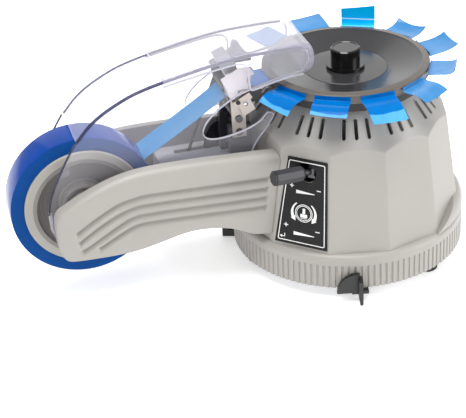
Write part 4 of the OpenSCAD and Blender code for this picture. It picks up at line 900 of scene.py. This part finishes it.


# ---------- Clear cover ----------
# A clear polycarbonate cover, two side walls and a crown in one piece, swings on the reel's axle.
# A second clear hood is welded over its front end. Bent corners and cut edges catch the light: they are bands
# of the clear plastic, tinted deep as painted shade on the cover's corners, and pale as painted highlights on
# its cut edges and the hood's corners.
def clear_plastic(name, passing, haze, tint, rough=0.06):
    """Clear polycarbonate: light passing straight through is tinted, and the rest is gloss and faint haze."""
    finish, place, shader = new_finish(name, {"Roughness": rough, "IOR": 1.58})
    tree = finish.node_tree
    cloud = place.noise(30.0, 3.0)
    join(shader, {"Base Color": cloud.tint(tuple(c * 0.94 for c in tint), tint)})
    grazing = place.node("LayerWeight", {"Blend": 0.5}, out="Facing") ** 5.0
    clear = place.node("BsdfTransparent", {"Color": (*passing, 1)})
    share = grazing * 0.9 + cloud * 0.02 + (haze + 0.04)
    mixed = place.node("MixShader", {0: share, 1: clear, 2: Wire(shader.outputs[0])})
    tree.links.new(mixed.socket, tree.nodes["Material Output"].inputs["Surface"])
    return finish


def square_to(line):
    """Inward directions square to a line in X and Z, that run clockwise round what it bounds."""
    way = np.gradient(line, axis=0)
    way /= np.linalg.norm(way, axis=1)[:, None]
    return np.stack([way[:, 1], -way[:, 0]], -1)


def carried(line, outline):
    """A closed outline of depths and insets, carried along a line in X and Z, each inset square to it."""
    line, outline = np.asarray(line, float), np.asarray(outline, float)
    place = line[:, None] + square_to(line)[:, None] * outline[None, :, 1:]
    depth = np.broadcast_to(outline[None, :, 0], place.shape[:2])
    return bar(np.stack([place[..., 0], depth, place[..., 1]], -1))


def strap(side_a, side_b, deep):
    """Outline of a flat strap: from one depth to another, and a thickness inwards."""
    return [(side_a, 0), (side_b, 0), (side_b, deep), (side_a, deep)]


def corner_bar(half, wall, bend, hand):
    """Outline of a bent corner: a quarter ring, its outside at a half width and its thickness a wall."""
    turn = np.linspace(0, np.pi / 2, 6)
    outer = np.stack([half - bend + bend * np.sin(turn), bend - bend * np.cos(turn)], -1)
    inner = np.stack([half - bend + (bend - wall) * np.sin(turn), bend - (bend - wall) * np.cos(turn)], -1)
    return np.vstack([outer, inner[::-1]]) * (hand, 1)


cover_half, cover_wall, cover_bend = 25.4, 1.6, 1.7
crown = smooth_line([
    (-200.6, 129.8), (-191.4, 140), (-181.4, 147.6), (-168, 154.8), (-155.8, 159.6), (-138.4, 164),
    (-120, 167.6), (-106, 170.2), (-91, 172.4), (-79, 173.4), (-66, 173.8), (-50, 174), (-40, 173.7)], 6)
crown_under = crown + square_to(crown) * cover_bend
# The rear end goes round the axle and then straight up to the crown
tail = np.vstack([
    arc_path((axle[0], axle[2]), 28, 300, 195, 15),
    smooth_line([
        (-224.4, 78), (-222.8, 86.5), (-220.4, 94), (-216.6, 102.4), (-212.4, 110.6), (-207.4, 119.4),
        (-201.6, 128.4)], 4),
])
hem = np.vstack([
    [(-37.4, 171), (-35.6, 169.4), (-35, 165), (-35.4, 160.6), (-37, 157.6), (-40.4, 155.4)],
    smooth_line([(-44, 154.6), (-52, 153), (-60, 151.6), (-68, 149.6), (-78, 147.2), (-88, 144.2)], 3),
])
mouth = smooth_line([
    (-88, 144.2), (-93.8, 140.6), (-99, 137.4), (-104.5, 133), (-109, 128.2), (-111.8, 123),
    (-112, 119.4), (-109.6, 116.4), (-105.6, 115), (-99, 114.8), (-92, 115.8), (-84, 117.5),
    (-77.6, 119.8), (-71.7, 122.9), (-66.6, 128), (-64.2, 128.4), (-62, 127.2), (-61.6, 125.2),
    (-66.2, 117.7), (-70.7, 112.1), (-75.6, 105.4), (-79, 98), (-84, 93)], 5)
skirt = np.array([(-92, 89.4), (-132, 89.4), (-150, 80), (-170, 62)])
# How deep the light cut edges go, as they show: the hem's, then the mouth's and the hub's as shares of it.
# The hub's wide band is a painted glint.
edge_deep, mouth_deep, hub_deep = 0.9, 0.6, 2.4
on_hub, glint = 15, slice(11, 17)
boss_in, boss_out, boss_end = 5.1, 9, 29.7
wall_outline = np.vstack([
    crown_under,
    hem + square_to(hem) * edge_deep,
    (mouth + square_to(mouth) * edge_deep * mouth_deep)[1:],
    skirt,
    tail[:on_hub],
    (tail + square_to(tail) * edge_deep)[on_hub:],
])
clear = clear_plastic("clear_sheet", (0.988, 0.987, 0.993), 0.03, (0.76, 0.75, 0.81))
# Painted shade on the bent corners, and painted highlights on the cut edges
corner_painted_shade = clear_plastic("clear_corner_shade", (0.22, 0.22, 0.33), 0.10, (0.26, 0.26, 0.38), 0.12)
edge_painted_highlight = clear_plastic("clear_edge_highlight", (0.50, 0.49, 0.60), 0.42, (0.88, 0.87, 0.94), 0.1)
sheets, corners, edges = [], [], []
for hand in (-1, 1):
    inner_y, outer_y = hand * (cover_half - cover_wall), hand * cover_half
    sheets.append(sheet(wall_outline, inner_y, outer_y))
    corners.append(carried(crown, corner_bar(cover_half, cover_wall, cover_bend, hand)))
    corners.append(carried(tail[on_hub:], strap(inner_y, outer_y, edge_deep)))
    edges.append(carried(hem, strap(inner_y, outer_y, edge_deep)))
    edges.append(carried(mouth, strap(inner_y, outer_y, edge_deep * mouth_deep)))
    edges.append(carried(tail[glint], strap(inner_y, outer_y, edge_deep * hub_deep)))
    end_y = hand * boss_end
    boss = np.array([(boss_in, inner_y), (boss_out, inner_y), (boss_out, end_y), (boss_in, end_y)])
    sheets.append(spun(boss, axle, "Y", 48))
flat_half = cover_half - cover_bend
sheets.append(carried(crown, strap(-flat_half, flat_half, cover_wall)))


def fit_clear(name, groups, finishes, stands_for):
    """Puts groups of clear meshes together on the cover's body, each group with its own finish."""
    for number, group in enumerate(groups):
        for mesh in group:
            mark(mesh, number)
    fit(name, sum(groups, []), finishes, "cover", stands_for, crease=40)


fit_clear("cover_clear", [sheets, corners, edges], [clear, corner_painted_shade, edge_painted_highlight], ["clear_cover"])

hood_half, hood_wall, hood_bend = 27.2, 1.4, 3.0
hood_top = smooth_line([
    (-138.4, 165.8), (-132.4, 167.1), (-120, 169.6), (-106, 172.2), (-91, 174.4), (-79, 175.4), (-66, 175.8),
    (-50, 176), (-38, 175.8), (-33.6, 173.4), (-31.8, 169), (-31.4, 164), (-32, 159.6), (-34.4, 156),
    (-39, 154.4)], 6)
hood_low = np.vstack([
    smooth_line([
        (-40, 153.4), (-50, 152.8), (-60, 151), (-68, 149.2), (-74, 147.8), (-77.2, 147.6),
        (-78.6, 149.4)], 5),
    smooth_line([
        (-79, 156), (-79.4, 163.5), (-81.6, 167), (-88, 168.2), (-101, 166.6), (-120, 163.4),
        (-138.4, 160)], 5),
])
hood_outline = np.vstack([
    hood_top + square_to(hood_top) * hood_bend,
    hood_low + square_to(hood_low) * edge_deep,
])
sheets, corners, edges = [], [], []
for hand in (-1, 1):
    inner_y, outer_y = hand * (hood_half - hood_wall), hand * hood_half
    sheets.append(sheet(hood_outline, inner_y, outer_y))
    corners.append(carried(hood_top, corner_bar(hood_half, hood_wall, hood_bend, hand)))
    edges.append(carried(hood_low, strap(inner_y, outer_y, edge_deep)))
flat_half = hood_half - hood_bend
sheets.append(carried(hood_top[1:], strap(-flat_half, flat_half, hood_wall)))
edges.append(carried(hood_top[:2], strap(-flat_half, flat_half, hood_wall)))
# Painted highlights on the hood's bent corners
corner_painted_highlight = clear_plastic("hood_corner_highlight", (0.88, 0.87, 0.92), 0.12, (0.80, 0.79, 0.87), 0.1)
fit_clear("hood_clear", [sheets, corners, edges], [clear, corner_painted_highlight, edge_painted_highlight], ["front_hood"])
